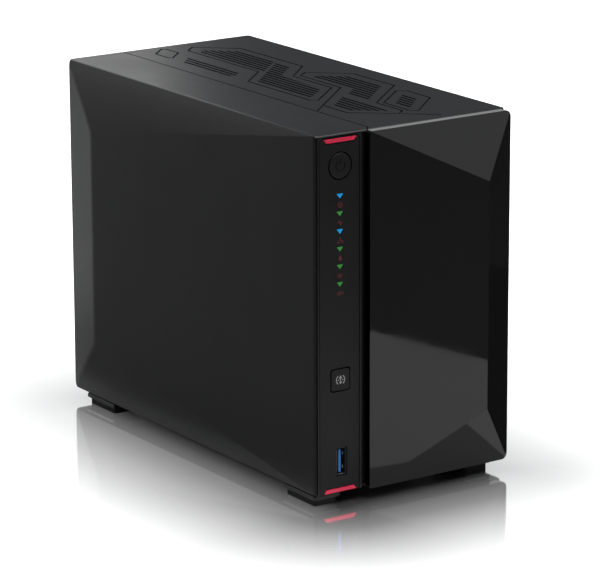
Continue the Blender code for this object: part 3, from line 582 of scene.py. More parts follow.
def spread(tree, source, low, high, to_low=0.0, to_high=1.0):
    """Stretch one span of values over another, held at the ends."""
    step = add_node(tree, "ShaderNodeMapRange", {1: low, 2: high, 3: to_low, 4: to_high})
    tree.links.new(source, step.inputs[0])
    return step.outputs[0]


def times(tree, first, second):
    """Product of two sockets, or of a socket and a number."""
    step = add_node(tree, "ShaderNodeMath", operation="MULTIPLY")
    tree.links.new(first, step.inputs[0])
    if isinstance(second, (int, float)):
        step.inputs[1].default_value = second
    else:
        tree.links.new(second, step.inputs[1])
    return step.outputs[0]


def make_grain_group():
    """Spark-eroded mould grain: a fine height, and a broad mask for uneven sheen."""
    tree, entry, leave = new_group("mould_grain", [("Grain Size", FLOAT, 0.0004)], ["Height", "Sheen Mask"])
    fine = noise_at(tree, entry.outputs["Grain Size"], 1.0, 2.0)
    broad = noise_at(tree, entry.outputs["Grain Size"], 60.0, 3.0)
    tree.links.new(spread(tree, fine, 0.3, 0.7), leave.inputs["Height"])
    tree.links.new(spread(tree, broad, 0.3, 0.7), leave.inputs["Sheen Mask"])
    return tree


def make_wear_and_highlight_group():
    """Edges made lighter, broken up by noise: partly wear from handling, partly a painted highlight along the
    rounded edges.
    """
    tree, entry, leave = new_group("edge_wear_and_highlight", [("Reach", FLOAT, 0.0008), ("Amount", FLOAT, 0.5)], ["Mask"])
    rounded = add_node(tree, "ShaderNodeBevel", samples=3)
    tree.links.new(entry.outputs["Reach"], rounded.inputs["Radius"])
    own = add_node(tree, "ShaderNodeNewGeometry")
    match = add_node(tree, "ShaderNodeVectorMath", operation="DOT_PRODUCT")
    tree.links.new(rounded.outputs["Normal"], match.inputs[0])
    tree.links.new(own.outputs["Normal"], match.inputs[1])
    edge = spread(tree, match.outputs["Value"], 0.995, 0.90)
    patch = spread(tree, noise_at(tree, entry.outputs["Reach"], 9.0, 3.0), 0.35, 0.62)
    wear_and_highlight_mask = times(tree, edge, patch)
    tree.links.new(times(tree, wear_and_highlight_mask, entry.outputs["Amount"]), leave.inputs["Mask"])
    return tree


def make_dust_group():
    """Fine dust that settles on faces turned upward."""
    tree, entry, leave = new_group("settled_dust", [("Speck Size", FLOAT, 0.0006), ("Amount", FLOAT, 0.3)],
                                   ["Mask"])
    own = add_node(tree, "ShaderNodeNewGeometry")
    parts = add_node(tree, "ShaderNodeSeparateXYZ")
    tree.links.new(own.outputs["Normal"], parts.inputs[0])
    upward = spread(tree, parts.outputs["Z"], 0.55, 1.0)
    specks = spread(tree, noise_at(tree, entry.outputs["Speck Size"], 1.0, 4.0), 0.52, 0.75)
    drift = spread(tree, noise_at(tree, entry.outputs["Speck Size"], 45.0, 3.0), 0.3, 0.7, 0.25, 1.0)
    lying = times(tree, times(tree, upward, specks), drift)
    tree.links.new(times(tree, lying, entry.outputs["Amount"]), leave.inputs["Mask"])
    return tree


def make_brush_group():
    """Fine lines left by brushing or rolling, drawn out along the axis with the smallest stretch."""
    tree, entry, leave = new_group("brush_lines", [("Stretch", VECTOR, (1.0, 1.0, 1.0))],
                                   ["Height", "Sheen Mask"])
    place = add_node(tree, "ShaderNodeTexCoord")
    drawn = add_node(tree, "ShaderNodeVectorMath", operation="MULTIPLY")
    tree.links.new(place.outputs["Object"], drawn.inputs[0])
    tree.links.new(entry.outputs["Stretch"], drawn.inputs[1])
    lines = add_node(tree, "ShaderNodeTexNoise", {"Scale": 1.0, "Detail": 3.0, "Roughness": 0.6})
    tree.links.new(drawn.outputs[0], lines.inputs["Vector"])
    broad = add_node(tree, "ShaderNodeTexNoise", {"Scale": 40.0, "Detail": 2.0})
    tree.links.new(place.outputs["Object"], broad.inputs["Vector"])
    tree.links.new(spread(tree, lines.outputs["Fac"], 0.3, 0.7), leave.inputs["Height"])
    tree.links.new(spread(tree, broad.outputs["Fac"], 0.3, 0.7), leave.inputs["Sheen Mask"])
    return tree


def make_smear_group():
    """Faint wiping marks and haze on a gloss surface."""
    tree, entry, leave = new_group("wiping_haze", [("Haze Size", FLOAT, 0.03), ("Amount", FLOAT, 0.5)],
                                   ["Mask"])
    cloud = spread(tree, noise_at(tree, entry.outputs["Haze Size"], 1.0, 4.0), 0.42, 0.70)
    fine = spread(tree, noise_at(tree, entry.outputs["Haze Size"], 0.05, 3.0), 0.30, 0.75, 0.4, 1.0)
    haze = times(tree, cloud, fine)
    tree.links.new(times(tree, haze, entry.outputs["Amount"]), leave.inputs["Mask"])
    return tree


def make_fade_group():
    """How far a spot lies outside an upright box, from 0 at its sides to 1 at the reach."""
    tree, entry, leave = new_group("fade_outward", [
        ("Middle", VECTOR, (0.0, 0.0, 0.0)), ("Half Size", VECTOR, (0.1, 0.1, 0.1)), ("Reach", FLOAT, 0.1)],
        ["Mask"])
    spot = add_node(tree, "ShaderNodeTexCoord").outputs["Object"]
    for kind, name in (("SUBTRACT", "Middle"), ("ABSOLUTE", None), ("SUBTRACT", "Half Size"),
                       ("MAXIMUM", None), ("LENGTH", None)):
        step = add_node(tree, "ShaderNodeVectorMath", operation=kind)
        tree.links.new(spot, step.inputs[0])
        if name:
            tree.links.new(entry.outputs[name], step.inputs[1])
        elif kind == "MAXIMUM":
            step.inputs[1].default_value = (0.0, 0.0, 0.0)
        spot = step.outputs["Value"] if kind == "LENGTH" else step.outputs[0]
    share = add_node(tree, "ShaderNodeMath", operation="DIVIDE", use_clamp=True)
    tree.links.new(spot, share.inputs[0])
    tree.links.new(entry.outputs["Reach"], share.inputs[1])
    tree.links.new(share.outputs[0], leave.inputs["Mask"])
    return tree


GROUP_MAKERS = {
    "fade_outward": make_fade_group,
    "mould_grain": make_grain_group,
    "edge_wear_and_highlight": make_wear_and_highlight_group,
    "settled_dust": make_dust_group,
    "brush_lines": make_brush_group,
    "wiping_haze": make_smear_group,
}


def place_group(tree, name, values):
    """Place a shared node group in a material, with this material's values."""
    item = tree.nodes.new("ShaderNodeGroup")
    item.node_tree = bpy.data.node_groups.get(name) or GROUP_MAKERS[name]()
    for key, value in values.items():
        item.inputs[key].default_value = value
    return item


# ---------------------------------------------------------------- finishes

def start_finish(name, colour, roughness, metallic=0.0, specular=0.5):
    """A material with its shader's even values set."""
    material = bpy.data.materials.new(name)
    material.use_nodes = True
    shader = material.node_tree.nodes["Principled BSDF"]
    shader.inputs["Base Color"].default_value = (*colour, 1.0)
    shader.inputs["Roughness"].default_value = roughness
    shader.inputs["Metallic"].default_value = metallic
    shader.inputs["Specular IOR Level"].default_value = specular
    return material, material.node_tree, shader


def tint(tree, shader, mask, colour):
    """Lay a colour over what already feeds the base colour, where a mask is bright."""
    mix = add_node(tree, "ShaderNodeMix", data_type="RGBA")
    base = shader.inputs["Base Color"]
    under, over = [socket for socket in mix.inputs if socket.type == "RGBA"]
    if base.is_linked:
        tree.links.new(base.links[0].from_socket, under)
    else:
        under.default_value = tuple(base.default_value)
    over.default_value = (*colour, 1.0)
    tree.links.new(mask, mix.inputs[0])
    result = [socket for socket in mix.outputs if socket.type == "RGBA"][0]
    tree.links.new(result, base)


def relief(tree, shader, height, strength, distance):
    """Bump a shader by a height."""
    bump = add_node(tree, "ShaderNodeBump", {"Strength": strength, "Distance": distance})
    tree.links.new(height, bump.inputs["Height"])
    tree.links.new(bump.outputs["Normal"], shader.inputs["Normal"])


def moulded(name, colour, roughness, grain=0.0004, depth=0.00003, strength=0.35, wear_and_highlight=0.0, dust=0.0,
            specular=0.5, sheen=0.06):
    """Moulded plastic or rubber: grain, uneven sheen, lighter edges that are partly rubbed wear and partly a
    painted highlight, and settled dust.
    """
    material, tree, shader = start_finish(name, colour, roughness, 0.0, specular)
    skin = place_group(tree, "mould_grain", {"Grain Size": grain})
    relief(tree, shader, skin.outputs["Height"], strength, depth)
    tree.links.new(spread(tree, skin.outputs["Sheen Mask"], 0.0, 1.0, roughness - sheen, roughness + sheen),
                   shader.inputs["Roughness"])
    lighter = [min(1.0, c * 1.35 + 0.002) for c in colour]
    tint(tree, shader, times(tree, skin.outputs["Sheen Mask"], 0.5), lighter)
    # Lighter edges: partly handling wear, partly a painted highlight.
    if wear_and_highlight:
        wear_and_highlight_mask = place_group(tree, "edge_wear_and_highlight", {"Reach": 0.0007, "Amount": wear_and_highlight})
        tint(tree, shader, wear_and_highlight_mask.outputs["Mask"], [min(1.0, c * 2.2 + 0.03) for c in colour])
    if dust:
        lying = place_group(tree, "settled_dust", {"Speck Size": 0.0005, "Amount": dust})
        tint(tree, shader, lying.outputs["Mask"], (0.30, 0.29, 0.27))
    return material


def sheet_metal(name, colour, roughness, stretch, metallic=1.0, wear_and_highlight=0.0, strength=0.25):
    """Rolled or brushed metal with drawn lines and uneven sheen."""
    material, tree, shader = start_finish(name, colour, roughness, metallic)
    lines = place_group(tree, "brush_lines", {"Stretch": stretch})
    relief(tree, shader, lines.outputs["Height"], strength, 0.00002)
    tree.links.new(spread(tree, lines.outputs["Sheen Mask"], 0.0, 1.0, roughness - 0.08, roughness + 0.1),
                   shader.inputs["Roughness"])
    tint(tree, shader, times(tree, lines.outputs["Height"], 0.35), [c * 0.8 for c in colour])
    # Lighter edges: partly handling wear, partly a painted highlight.
    if wear_and_highlight:
        wear_and_highlight_mask = place_group(tree, "edge_wear_and_highlight", {"Reach": 0.0006, "Amount": wear_and_highlight})
        tint(tree, shader, wear_and_highlight_mask.outputs["Mask"], (0.45, 0.45, 0.44))
    return material


def make_shell_finish():
    """Fine spark-eroded matt black of the shells."""
    colour = bpy.context.scene.enclosure_casing.colour
    # On the shells the lighter edges are a painted edge highlight.
    return moulded("shell_plastic", colour, 0.33, 0.00035, 0.00003, 0.22, wear_and_highlight=0.10, dust=0.015, specular=0.32,
                   sheen=0.02)


def make_strip_finish():
    """Satin black of the strip and its keys, with fine upright lines."""
    colour = bpy.context.scene.enclosure_strip.panel_colour
    material, tree, shader = start_finish("strip_plastic", colour, 0.38, 0.0, 0.18)
    lines = place_group(tree, "brush_lines", {"Stretch": (5200.0, 5200.0, 160.0)})
    relief(tree, shader, lines.outputs["Height"], 0.22, 0.00002)
    sheen = spread(tree, lines.outputs["Sheen Mask"], 0.0, 1.0, 0.33, 0.43)
    tree.links.new(sheen, shader.inputs["Roughness"])
    tint(tree, shader, times(tree, lines.outputs["Height"], 0.5), [c * 1.4 + 0.001 for c in colour])
    return material


def make_cover_finish():
    """Deep gloss black with a faint haze."""
    colour = bpy.context.scene.enclosure_cover.colour
    material, tree, shader = start_finish("cover_gloss", colour, 0.05, 0.0, 0.5)
    haze = place_group(tree, "wiping_haze", {"Haze Size": 0.035, "Amount": 1.0})
    tree.links.new(spread(tree, haze.outputs["Mask"], 0.0, 1.0, 0.035, 0.10), shader.inputs["Roughness"])
    tint(tree, shader, times(tree, haze.outputs["Mask"], 0.3), [c + 0.0015 for c in colour])
    wave = place_group(tree, "mould_grain", {"Grain Size": 0.02})
    relief(tree, shader, wave.outputs["Height"], 0.02, 0.0002)
    return material


def make_accent_finish():
    """Satin crimson of the inlays."""
    return moulded("accent_red", bpy.context.scene.enclosure_strip.accent_colour, 0.34, 0.0003, 0.00001, 0.2)


def make_mark_finish():
    """Dull red print."""
    return moulded("printed_mark", bpy.context.scene.enclosure_strip.mark_colour, 0.55, 0.0002, 0.00001, 0.2)


def make_silver_mark_finish():
    """Silver print on the square key."""
    return moulded("silver_mark", (0.36, 0.36, 0.37), 0.4, 0.0002, 0.00001, 0.2)


DIM_GLOW = 0.32               # glow in the grain's hollows
BRIGHT_GLOW = 0.58            # glow on the grain's crests


def glowing(name, colour):
    """Frosted lens with a lamp behind it."""
    material, tree, shader = start_finish(name, [c * 0.4 for c in colour], 0.35)
    shader.inputs["Emission Strength"].default_value = 1.0
    skin = place_group(tree, "mould_grain", {"Grain Size": 0.0006})
    mix = add_node(tree, "ShaderNodeMix", data_type="RGBA")
    dim, bright = [socket for socket in mix.inputs if socket.type == "RGBA"]
    dim.default_value = (*[c * DIM_GLOW for c in colour], 1.0)
    bright.default_value = (*[min(1.0, c * BRIGHT_GLOW + 0.01) for c in colour], 1.0)
    tree.links.new(skin.outputs["Height"], mix.inputs[0])
    glow = [socket for socket in mix.outputs if socket.type == "RGBA"][0]
    tree.links.new(glow, shader.inputs["Emission Color"])
    relief(tree, shader, skin.outputs["Height"], 0.2, 0.00002)
    return material


def make_blue_lens_finish():
    """Blue indicator."""
    return glowing("blue_indicator", bpy.context.scene.enclosure_strip.blue_light)


def make_green_lens_finish():
    """Green indicator."""
    return glowing("green_indicator", bpy.context.scene.enclosure_strip.green_light)


def make_board_finish():
    """Solder mask with copper runs showing through, and tinned pads."""
    material, tree, shader = start_finish("solder_mask", (0.012, 0.075, 0.036), 0.32)
    place = add_node(tree, "ShaderNodeTexCoord")
    runs = add_node(tree, "ShaderNodeTexVoronoi", {"Scale": 260.0}, feature="DISTANCE_TO_EDGE")
    tree.links.new(place.outputs["Object"], runs.inputs["Vector"])
    line = spread(tree, runs.outputs["Distance"], 0.10, 0.06)
    tint(tree, shader, line, (0.030, 0.150, 0.070))
    pads = add_node(tree, "ShaderNodeTexVoronoi", {"Scale": 420.0})
    tree.links.new(place.outputs["Object"], pads.inputs["Vector"])
    pad = spread(tree, pads.outputs["Distance"], 0.17, 0.14)
    tint(tree, shader, pad, (0.62, 0.60, 0.55))
    tree.links.new(pad, shader.inputs["Metallic"])
    relief(tree, shader, line, 0.3, 0.00003)
    return material


FINISH_MAKERS = {
    "shell": make_shell_finish,
    "strip": make_strip_finish,
    "cover": make_cover_finish,
    "accent": make_accent_finish,
    "mark": make_mark_finish,
    "silver_mark": make_silver_mark_finish,
    "blue_lens": make_blue_lens_finish,
    "green_lens": make_green_lens_finish,
    "board": make_board_finish,
    "inner": lambda: moulded("inner_plastic", (0.014, 0.014, 0.015), 0.46, 0.0003, 0.00002, 0.3, wear_and_highlight=0.4),
    "guide": lambda: moulded("clear_guide", (0.42, 0.50, 0.54), 0.22, 0.0006, 0.00001, 0.2),
    "usb_blue": lambda: moulded("usb_blue", (0.010, 0.155, 0.47), 0.36, 0.0003, 0.00001, 0.2),
    "chip": lambda: moulded("chip_black", (0.018, 0.018, 0.019), 0.5, 0.0002, 0.00001, 0.3),
    "rubber": lambda: moulded("foot_rubber", (0.014, 0.014, 0.014), 0.78, 0.0003, 0.00003, 0.5, specular=0.3),
    "zinc": lambda: sheet_metal("zinc_sheet", (0.52, 0.53, 0.54), 0.33, (90.0, 900.0, 2600.0), wear_and_highlight=0.2),
    "bright_steel": lambda: sheet_metal("bright_steel", (0.66, 0.66, 0.67), 0.24, (2600.0, 120.0, 2600.0)),
    "powder_coat": lambda: moulded("powder_coat", (0.018, 0.018, 0.019), 0.50, 0.0007, 0.00006, 0.5, wear_and_highlight=0.5),
    "nickel": lambda: sheet_metal("magnet_nickel", (0.60, 0.60, 0.585), 0.20, (900.0, 900.0, 900.0)),
    "gold": lambda: sheet_metal("contact_gold", (0.80, 0.52, 0.16), 0.25, (900.0, 900.0, 900.0)),
    "aluminium": lambda: sheet_metal("drawn_aluminium", (0.68, 0.69, 0.70), 0.30, (2400.0, 60.0, 2400.0)),
}
SLOT_FINISH = {
    "shell_plastic": "shell", "strip_plastic": "strip", "gloss_cover": "cover", "accent_red": "accent",
    "clear_guide": "guide", "inner_plastic": "inner", "usb_blue": "usb_blue", "steel": "zinc",
    "painted_steel": "powder_coat", "magnet_nickel": "nickel", "board_green": "board",
    "aluminium": "aluminium", "rubber": "rubber",
}
made_finishes = {}


def finish(name):
    """The material of a finish, made the first time it is asked for."""
    if name not in made_finishes:
        made_finishes[name] = FINISH_MAKERS[name]()
    return made_finishes[name]


def node_slots():
    """Material slot of each frame node, from the record."""
    return {part["node"]: part["material_slot"] for part in frame["record"]["subparts"]}


def keep_nodes(names, rounding, segments=2):
    """Keep frame nodes as they are, with softened edges and the finish of their slot."""
    slots = node_slots()
    for name in names:
        item = frame["nodes"][name]
        item.data.materials.clear()
        item.data.materials.append(finish(SLOT_FINISH[slots[name]]))
        if rounding:
            step = item.modifiers.new("rounding", "BEVEL")
            step.width = rounding * MM
            step.segments = segments
            step.limit_method = "ANGLE"
            step.angle_limit = math.radians(40)


# ---------------------------------------------------------------- casing

ROOF_LOOPS = [
    [(-11.8, 96.5), (-2.8, 105.5), (-1.1, 103.8), (-1.1, 92.4), (-10.0, 83.5), (-11.8, 85.3)],
    [(5.75, 94.0), (12.25, 100.5), (30.5, 83.5), (30.5, 29.0), (13.25, 11.5), (13.25, -21.0), (-8.0, -40.5),
     (-11.2, -37.5), (-11.2, 14.0), (5.75, 30.5)],
    [(34.0, -44.5), (38.1, -47.5), (38.1, -66.0), (17.0, -86.0), (13.6, -83.0), (13.6, -63.0)],
]
ROOF_LINES = [
    [(2.0, 113.0), (2.0, 31.8), (-9.7, 20.1), (-14.9, 25.3), (-14.9, 74.6), (2.0, 91.5)],
    [(-24.5, -62.4), (17.0, -23.1), (17.0, 11.0), (23.25, 16.0), (40.5, 0.0), (40.5, -34.0), (10.7, -61.0),
     (10.7, -81.5), (5.75, -86.3)],
    [(-12.8, -51.5), (-12.8, -70.4), (5.75, -86.3), (20.0, -99.3)],
]
LOUVRE_FIELDS = [
    [(-12.3, 70.5), (-3.4, 79.4), (-3.4, 34.0), (-9.0, 28.5), (-12.3, 31.0)],
    [(8.2, 86.5), (12.2, 90.8), (25.4, 78.2), (25.4, 46.2), (8.2, 29.5)],
    [(24.7, 43.8), (24.7, 31.5), (7.8, 14.6), (7.8, -19.8), (-6.6, -33.2), (-8.2, -31.8), (-8.2, 10.6)],
    [(20.1, 4.6), (23.2, 7.1), (35.6, -5.4), (35.6, -30.8), (10.8, -54.1), (10.8, -37.9), (19.8, -29.1)],
    [(6.0, -40.4), (6.0, -78.5), (3.9, -78.5), (-9.2, -66.6), (-9.2, -54.8)],
    [(31.8, -52.9), (31.8, -64.1), (17.0, -79.0), (17.0, -67.2)],
]
LIP_LEFT = 0.7                # shell lip left of the bezel
LIP_TOP = 1.1                 # lip over, under and right of the bezel
LIP_DEPTH = 3.0               # how deep the bezel sits in the lip


def case_sizes():
    """Outer sizes of the case, from the frame."""
    left_low, left_high = node_box("left_shell")
    right_low, right_high = node_box("right_shell")
    cover_high = node_box("front_cover")[1]
    return {
        "half": cover_high.x, "ridge": right_high.x, "front": left_low.y, "rear": left_high.y,
        "foot": left_low.z, "top": left_high.z, "seam": (left_high.x + right_low.x) / 2,
    }


def case_points(sizes, inset, front, rear):
    """Corner points of the faceted case, drawn in by a wall thickness."""
    casing = bpy.context.scene.enclosure_casing
    half = sizes["half"] - inset
    ridge = sizes["ridge"] - inset
    top = sizes["top"] - inset
    bottom = sizes["foot"] + inset
    ridge_y = casing.ridge_y / MM
    points = []
    for side in (-1, 1):
        for y in (front, rear):
            points += [(side * half, y, bottom), (side * half, y, top)]
        points.append((side * ridge, ridge_y, sizes["top"] - casing.ridge_drop / MM))
        points.append((side * ridge, ridge_y, sizes["foot"] + casing.ridge_rise / MM))
    return points


def field_span(field, x):
    """Lowest and highest y of a vent field along the line at x."""
    crossings = []
    for (ax, ay), (bx, by) in zip(field, field[1:] + field[:1]):
        if min(ax, bx) <= x <= max(ax, bx) and abs(ax - bx) > 1e-6:
            crossings.append(ay + (by - ay) * (x - ax) / (bx - ax))
    return min(crossings), max(crossings)


def louvre_loops():
    """One four-cornered outline for each louvre of each field."""
    casing = bpy.context.scene.enclosure_casing
    pitch = casing.louvre_pitch / MM
    width = casing.louvre_width / MM
    loops = []
    for field in LOUVRE_FIELDS:
        left = min(x for x, _ in field)
        right = max(x for x, _ in field)
        count = int((right - left + pitch - width) / pitch)
        spare = (right - left) - (count - 1) * pitch - width
        for k in range(count):
            a = left + spare / 2 + k * pitch
            b = a + width
            low_a, high_a = field_span(field, a)
            low_b, high_b = field_span(field, b)
            if min(high_a - low_a, high_b - low_b) > width:
                loops.append([(a, low_a), (b, low_b), (b, high_b), (a, high_a)])
    return loops


def roof_engraving(sizes):
    """Cutters for the lines engraved in the roof."""
    casing = bpy.context.scene.enclosure_casing
    width = casing.groove_width / MM
    floor = sizes["top"] - casing.groove_depth / MM
    tools = []
    above = sizes["top"] + 5
    for number, points in enumerate(ROOF_LOOPS):
        tools.append(prism("roof_loop_%d" % number, ribbon(points, width, True), "XY", floor, above))
    for number, points in enumerate(ROOF_LINES):
        tools.append(prism("roof_line_%d" % number, ribbon(points, width), "XY", floor, above))
    return tools


def round_case(item):
    """Round the case's long edges, and its shallow facet edges a little."""
    casing = bpy.context.scene.enclosure_casing
    rounding = item.modifiers.new("rounding", "BEVEL")
    rounding.width = casing.edge_round
    rounding.segments = 5
    rounding.limit_method = "ANGLE"
    rounding.angle_limit = math.radians(9)
    settle(item)


def half_outline(sizes, side):
    """Plan of the half of the case to take away, with the seam's turn at the front."""
    casing = bpy.context.scene.enclosure_casing
    shift = casing.seam_width / MM / 2
    seam = sizes["seam"] - side * shift
    front = sizes["front"]
    line = [(seam, 140.0), (seam, front + 3.0), (seam - 2.5, front), (seam - 2.5, -140.0)]
    far = 90.0 * side
    return line + [(far, -140.0), (far, 140.0)]


def build_shells():
    """The two moulded halves with their seam, roof lines and louvres."""
    casing = bpy.context.scene.enclosure_casing
    sizes = case_sizes()
    wall = casing.wall / MM
    inside = hull_builder(case_points(sizes, wall, sizes["front"] - 10, sizes["rear"] + 10))
    inner = new_item("case_inside", mesh_from(inside, "case_inside"))
    front = sizes["front"]
    half = sizes["half"]
    bezel_foot = node_box("front_frame")[0].z
    channel = node_box("front_cover")[0].x - 1.5
    lip = box_item("lip_space", ((-half + LIP_LEFT, front - 5, sizes["foot"] + LIP_TOP + 0.1),
                                 (half - LIP_TOP, front + LIP_DEPTH, sizes["top"] - LIP_TOP)))
    strip_way = box_item("strip_way", ((-half + LIP_LEFT, front - 5, bezel_foot - 5),
                                       (channel, front + LIP_DEPTH, bezel_foot + LIP_TOP + 1.2)))
    vents = prism("louvres", louvre_loops(), "XY", sizes["top"] - 6, sizes["top"] + 6)
    for name, side, node in (("case_left_half", 1, "left_shell"), ("case_right_half", -1, "right_shell")):
        outer = hull_builder(case_points(sizes, 0.0, front, sizes["rear"]))
        shell = new_item(name, mesh_from(outer, name))
        round_case(shell)
        waste = prism(name + "_waste", [half_outline(sizes, side)], "XY", -20, 200)
        carve(shell, inner, lip, strip_way, waste, keep=(inner, lip, strip_way))
        if side < 0:
            carve(shell, vents, *roof_engraving(sizes))
        polish(shell, 0.22, 2)
        crease_facets(shell, 120.0)
        fit(shell, "enclosure", "shell_plastic", ["shell"], node)
    for tool in (inner, lip, strip_way):
        bpy.data.objects.remove(tool, do_unlink=True)


# ---------------------------------------------------------------- bezel and control strip

RIM_WIDTH = 1.2               # ridge between the strip and the cover's channel


def strip_sizes():
    """Places on the control strip, from the frame."""
    panel_low, panel_high = node_box("indicator_panel")
    guide_low, guide_high = node_box("light_guide")
    bar_low, bar_high = node_box("accent_bar_top")
    power = span_middle(*node_box("power_button"))
    copy = span_middle(*node_box("copy_button"))
    usb_low, usb_high = node_box("front_usb_shell")
    strip = bpy.context.scene.enclosure_strip
    top_light = guide_high.z - 3.0
    foot_light = guide_low.z + 3.0
    pitch = (top_light - foot_light) / (strip.indicators - 1)
    return {
        "low": panel_low, "high": panel_high, "x": (bar_low.x + bar_high.x) / 2, "front": panel_low.y,
        "power_z": power.z, "copy_z": copy.z, "usb_low": usb_low, "usb_high": usb_high,
        "lights": [top_light - k * pitch for k in range(strip.indicators)],
        "guide_rear": guide_high.y,
    }


def lens_loop(x, z, grow):
    """Triangle of one indicator, point down."""
    half = 1.65 + grow
    up = 1.05 + grow / 2
    return [(x - half, z + up), (x, z - up - grow / 2), (x + half, z + up)]


def strip_openings(sizes, grow, start, end):
    """Cutter for the keys, indicators and port of the strip."""
    strip = bpy.context.scene.enclosure_strip
    x = sizes["x"]
    radius = strip.power_radius / MM + grow
    side = strip.copy_side / MM + 2 * grow
    usb_low, usb_high = sizes["usb_low"], sizes["usb_high"]
    loops = [
        circle((x, sizes["power_z"]), radius, 72),
        round_rectangle((x, sizes["copy_z"]), side, side, 1.5),
        round_rectangle(((usb_low.x + usb_high.x) / 2, (usb_low.z + usb_high.z) / 2),
                        usb_high.x - usb_low.x + 2 * HAIR, usb_high.z - usb_low.z + 2 * HAIR, 0.7),
    ]
    loops += [lens_loop(x, z, HAIR) for z in sizes["lights"]]
    return prism("strip_openings", loops, "XZ", start, end)


PANEL_GROW = (0.45, 0.5)      # how far the strip's face runs past its solid, left and right
PANEL_CORNER = 2.4            # rounding of the strip's upper corners


def arched_rectangle(low, high, radius, steps):
    """Rectangle with its two upper corners rounded."""
    points = [low, (high[0], low[1])]
    for middle, start in ((high[0] - radius, 0.0), (low[0] + radius, 90.0)):
        for k in range(steps + 1):
            angle = math.radians(start + 90.0 * k / steps)
            points.append((middle + radius * math.cos(angle), high[1] - radius + radius * math.sin(angle)))
    return points


def build_bezel():
    """Frame that closes the front: rims round the strip, channel for the cover, bay openings."""
    strip = bpy.context.scene.enclosure_strip
    sizes = case_sizes()
    places = strip_sizes()
    low, high = node_box("front_frame")
    cover_low = node_box("front_cover")[0]
    face = node_box("drive_tray_1")[0].y + 0.8
    half = sizes["half"]
    left = -half + LIP_LEFT + 0.35
    right = high.x
    rim_right = cover_low.x - 1.8
    foot = sizes["foot"] + LIP_TOP + 0.4
    back = sizes["front"] + LIP_DEPTH - HAIR
    bezel = box_item("bezel", ((left, low.y, foot), (right, high.y, high.z)))
    skirt = box_item("bezel_skirt", ((left, low.y, low.z), (rim_right, back, foot + 1)))
    unite(bezel, skirt)
    wall = bpy.context.scene.enclosure_casing.wall / MM
    inner = half - wall - HAIR
    step = prism("bezel_step", [rectangle((-60, 0), (60, 180)),
                                rectangle((-inner, sizes["foot"] + wall + HAIR),
                                          (inner, sizes["top"] - wall - HAIR))], "XZ", back, high.y + 5)
    bay_face = box_item("bay_face", ((rim_right, low.y - 5, -5), (60, face, 180)))
    pocket = prism("strip_pocket", [arched_rectangle(
        (places["low"].x - PANEL_GROW[0] - 0.35, places["low"].z - 6),
        (rim_right - RIM_WIDTH, places["high"].z + 0.4), PANEL_CORNER + 0.35, 8)],
        "XZ", low.y - 5, places["high"].y + HAIR)
    bays = []
    for name in ("drive_tray_1", "drive_tray_2"):
        tray_low, tray_high = node_box(name)
        bays.append(rectangle((tray_low.x - 0.4, tray_low.z - 0.4), (tray_high.x + 0.4, tray_high.z + 0.4)))
    bays += [round_rectangle((13.5, z), 57, 2.4, 1.1) for z in (24.2, 28.8, 33.4, 37.2)]
    bay_cut = prism("bay_openings", bays, "XZ", low.y - 5, high.y + 5)
    recesses = []
    for name in ("catch_plate_lower", "catch_plate_upper"):
        plate_low, plate_high = node_box(name)
        recesses.append(((plate_low.x - 0.4, face - 5, plate_low.z - 0.4),
                         (plate_high.x + 0.4, plate_high.y + 0.4, plate_high.z + 0.4)))
    plates = box_item("catch_recess", *recesses)
    gap = strip.key_gap / MM
    carve(bezel, step, bay_face, pocket, bay_cut, plates,
          strip_openings(places, gap, low.y + 1, high.y + 5))
    polish(bezel, 0.28, 3)
    fit(bezel, "enclosure", "shell_plastic", ["shell"], "front_frame")


def accent_loop(places, end, grow):
    """Trapezoid inlay at the top (+1) or the foot (-1) of the strip."""
    low, high = node_box("accent_bar_top" if end > 0 else "accent_bar_bottom")
    x = places["x"]
    wide = (high.x - low.x) / 2
    narrow = wide - 1.4
    edge, inner = (high.z, low.z) if end > 0 else (low.z, high.z)
    return [(x - wide - grow, edge + end * grow), (x - narrow - grow, inner - end * grow),
            (x + narrow + grow, inner - end * grow), (x + wide + grow, edge + end * grow)]


def build_panel():
    """The satin strip with its openings, inlays and lenses."""
    strip = bpy.context.scene.enclosure_strip
    places = strip_sizes()
    low, high = places["low"], places["high"]
    front = places["front"]
    panel = prism("control_strip", [
        arched_rectangle((low.x - PANEL_GROW[0], low.z), (high.x + PANEL_GROW[1], high.z), PANEL_CORNER, 8)],
        "XZ", front, high.y)
    seats = prism("accent_seats", [accent_loop(places, 1, 0.4), accent_loop(places, -1, 0.4)], "XZ",
                  front - 5, front + 1.2)
    carve(panel, strip_openings(places, strip.key_gap / MM, front - 5, front + 5), seats)
    polish(panel, 0.32, 3)
    fit(panel, "enclosure", "strip_plastic", ["strip"], "indicator_panel")
    for name, end, node in (("inlay_top", 1, "accent_bar_top"), ("inlay_foot", -1, "accent_bar_bottom")):
        bar_low, bar_high = node_box(node)
        bar = prism(name, [accent_loop(places, end, 0.0)], "XZ", bar_low.y, bar_high.y)
        polish(bar, 0.22, 3)
        fit(bar, "enclosure", "accent_red", ["accent"], node)
    guide_low, guide_high = node_box("light_guide")
    builder = bmesh.new()
    add_box(builder, (guide_low.x, guide_high.y - 2.0, guide_low.z), guide_high, 2)
    for number, z in enumerate(places["lights"]):
        slot = 0 if number in (0, 2) else 1
        corners = lens_loop(places["x"], z, 0.0)
        near = [builder.verts.new((u, guide_low.y, v)) for u, v in corners]
        far = [builder.verts.new((u, guide_high.y - 1.0, v)) for u, v in corners]
        faces = [builder.faces.new(near), builder.faces.new(far[::-1])]
        for k in range(3):
            faces.append(builder.faces.new((near[k], far[k], far[(k + 1) % 3], near[(k + 1) % 3])))
        for face in faces:
            face.material_index = slot
    guide = new_item("indicator_lenses", mesh_from(builder, "indicator_lenses"))
    polish(guide, 0.15, 2)
    fit(guide, "enclosure", "clear_guide", ["blue_lens", "green_lens", "guide"], "light_guide")


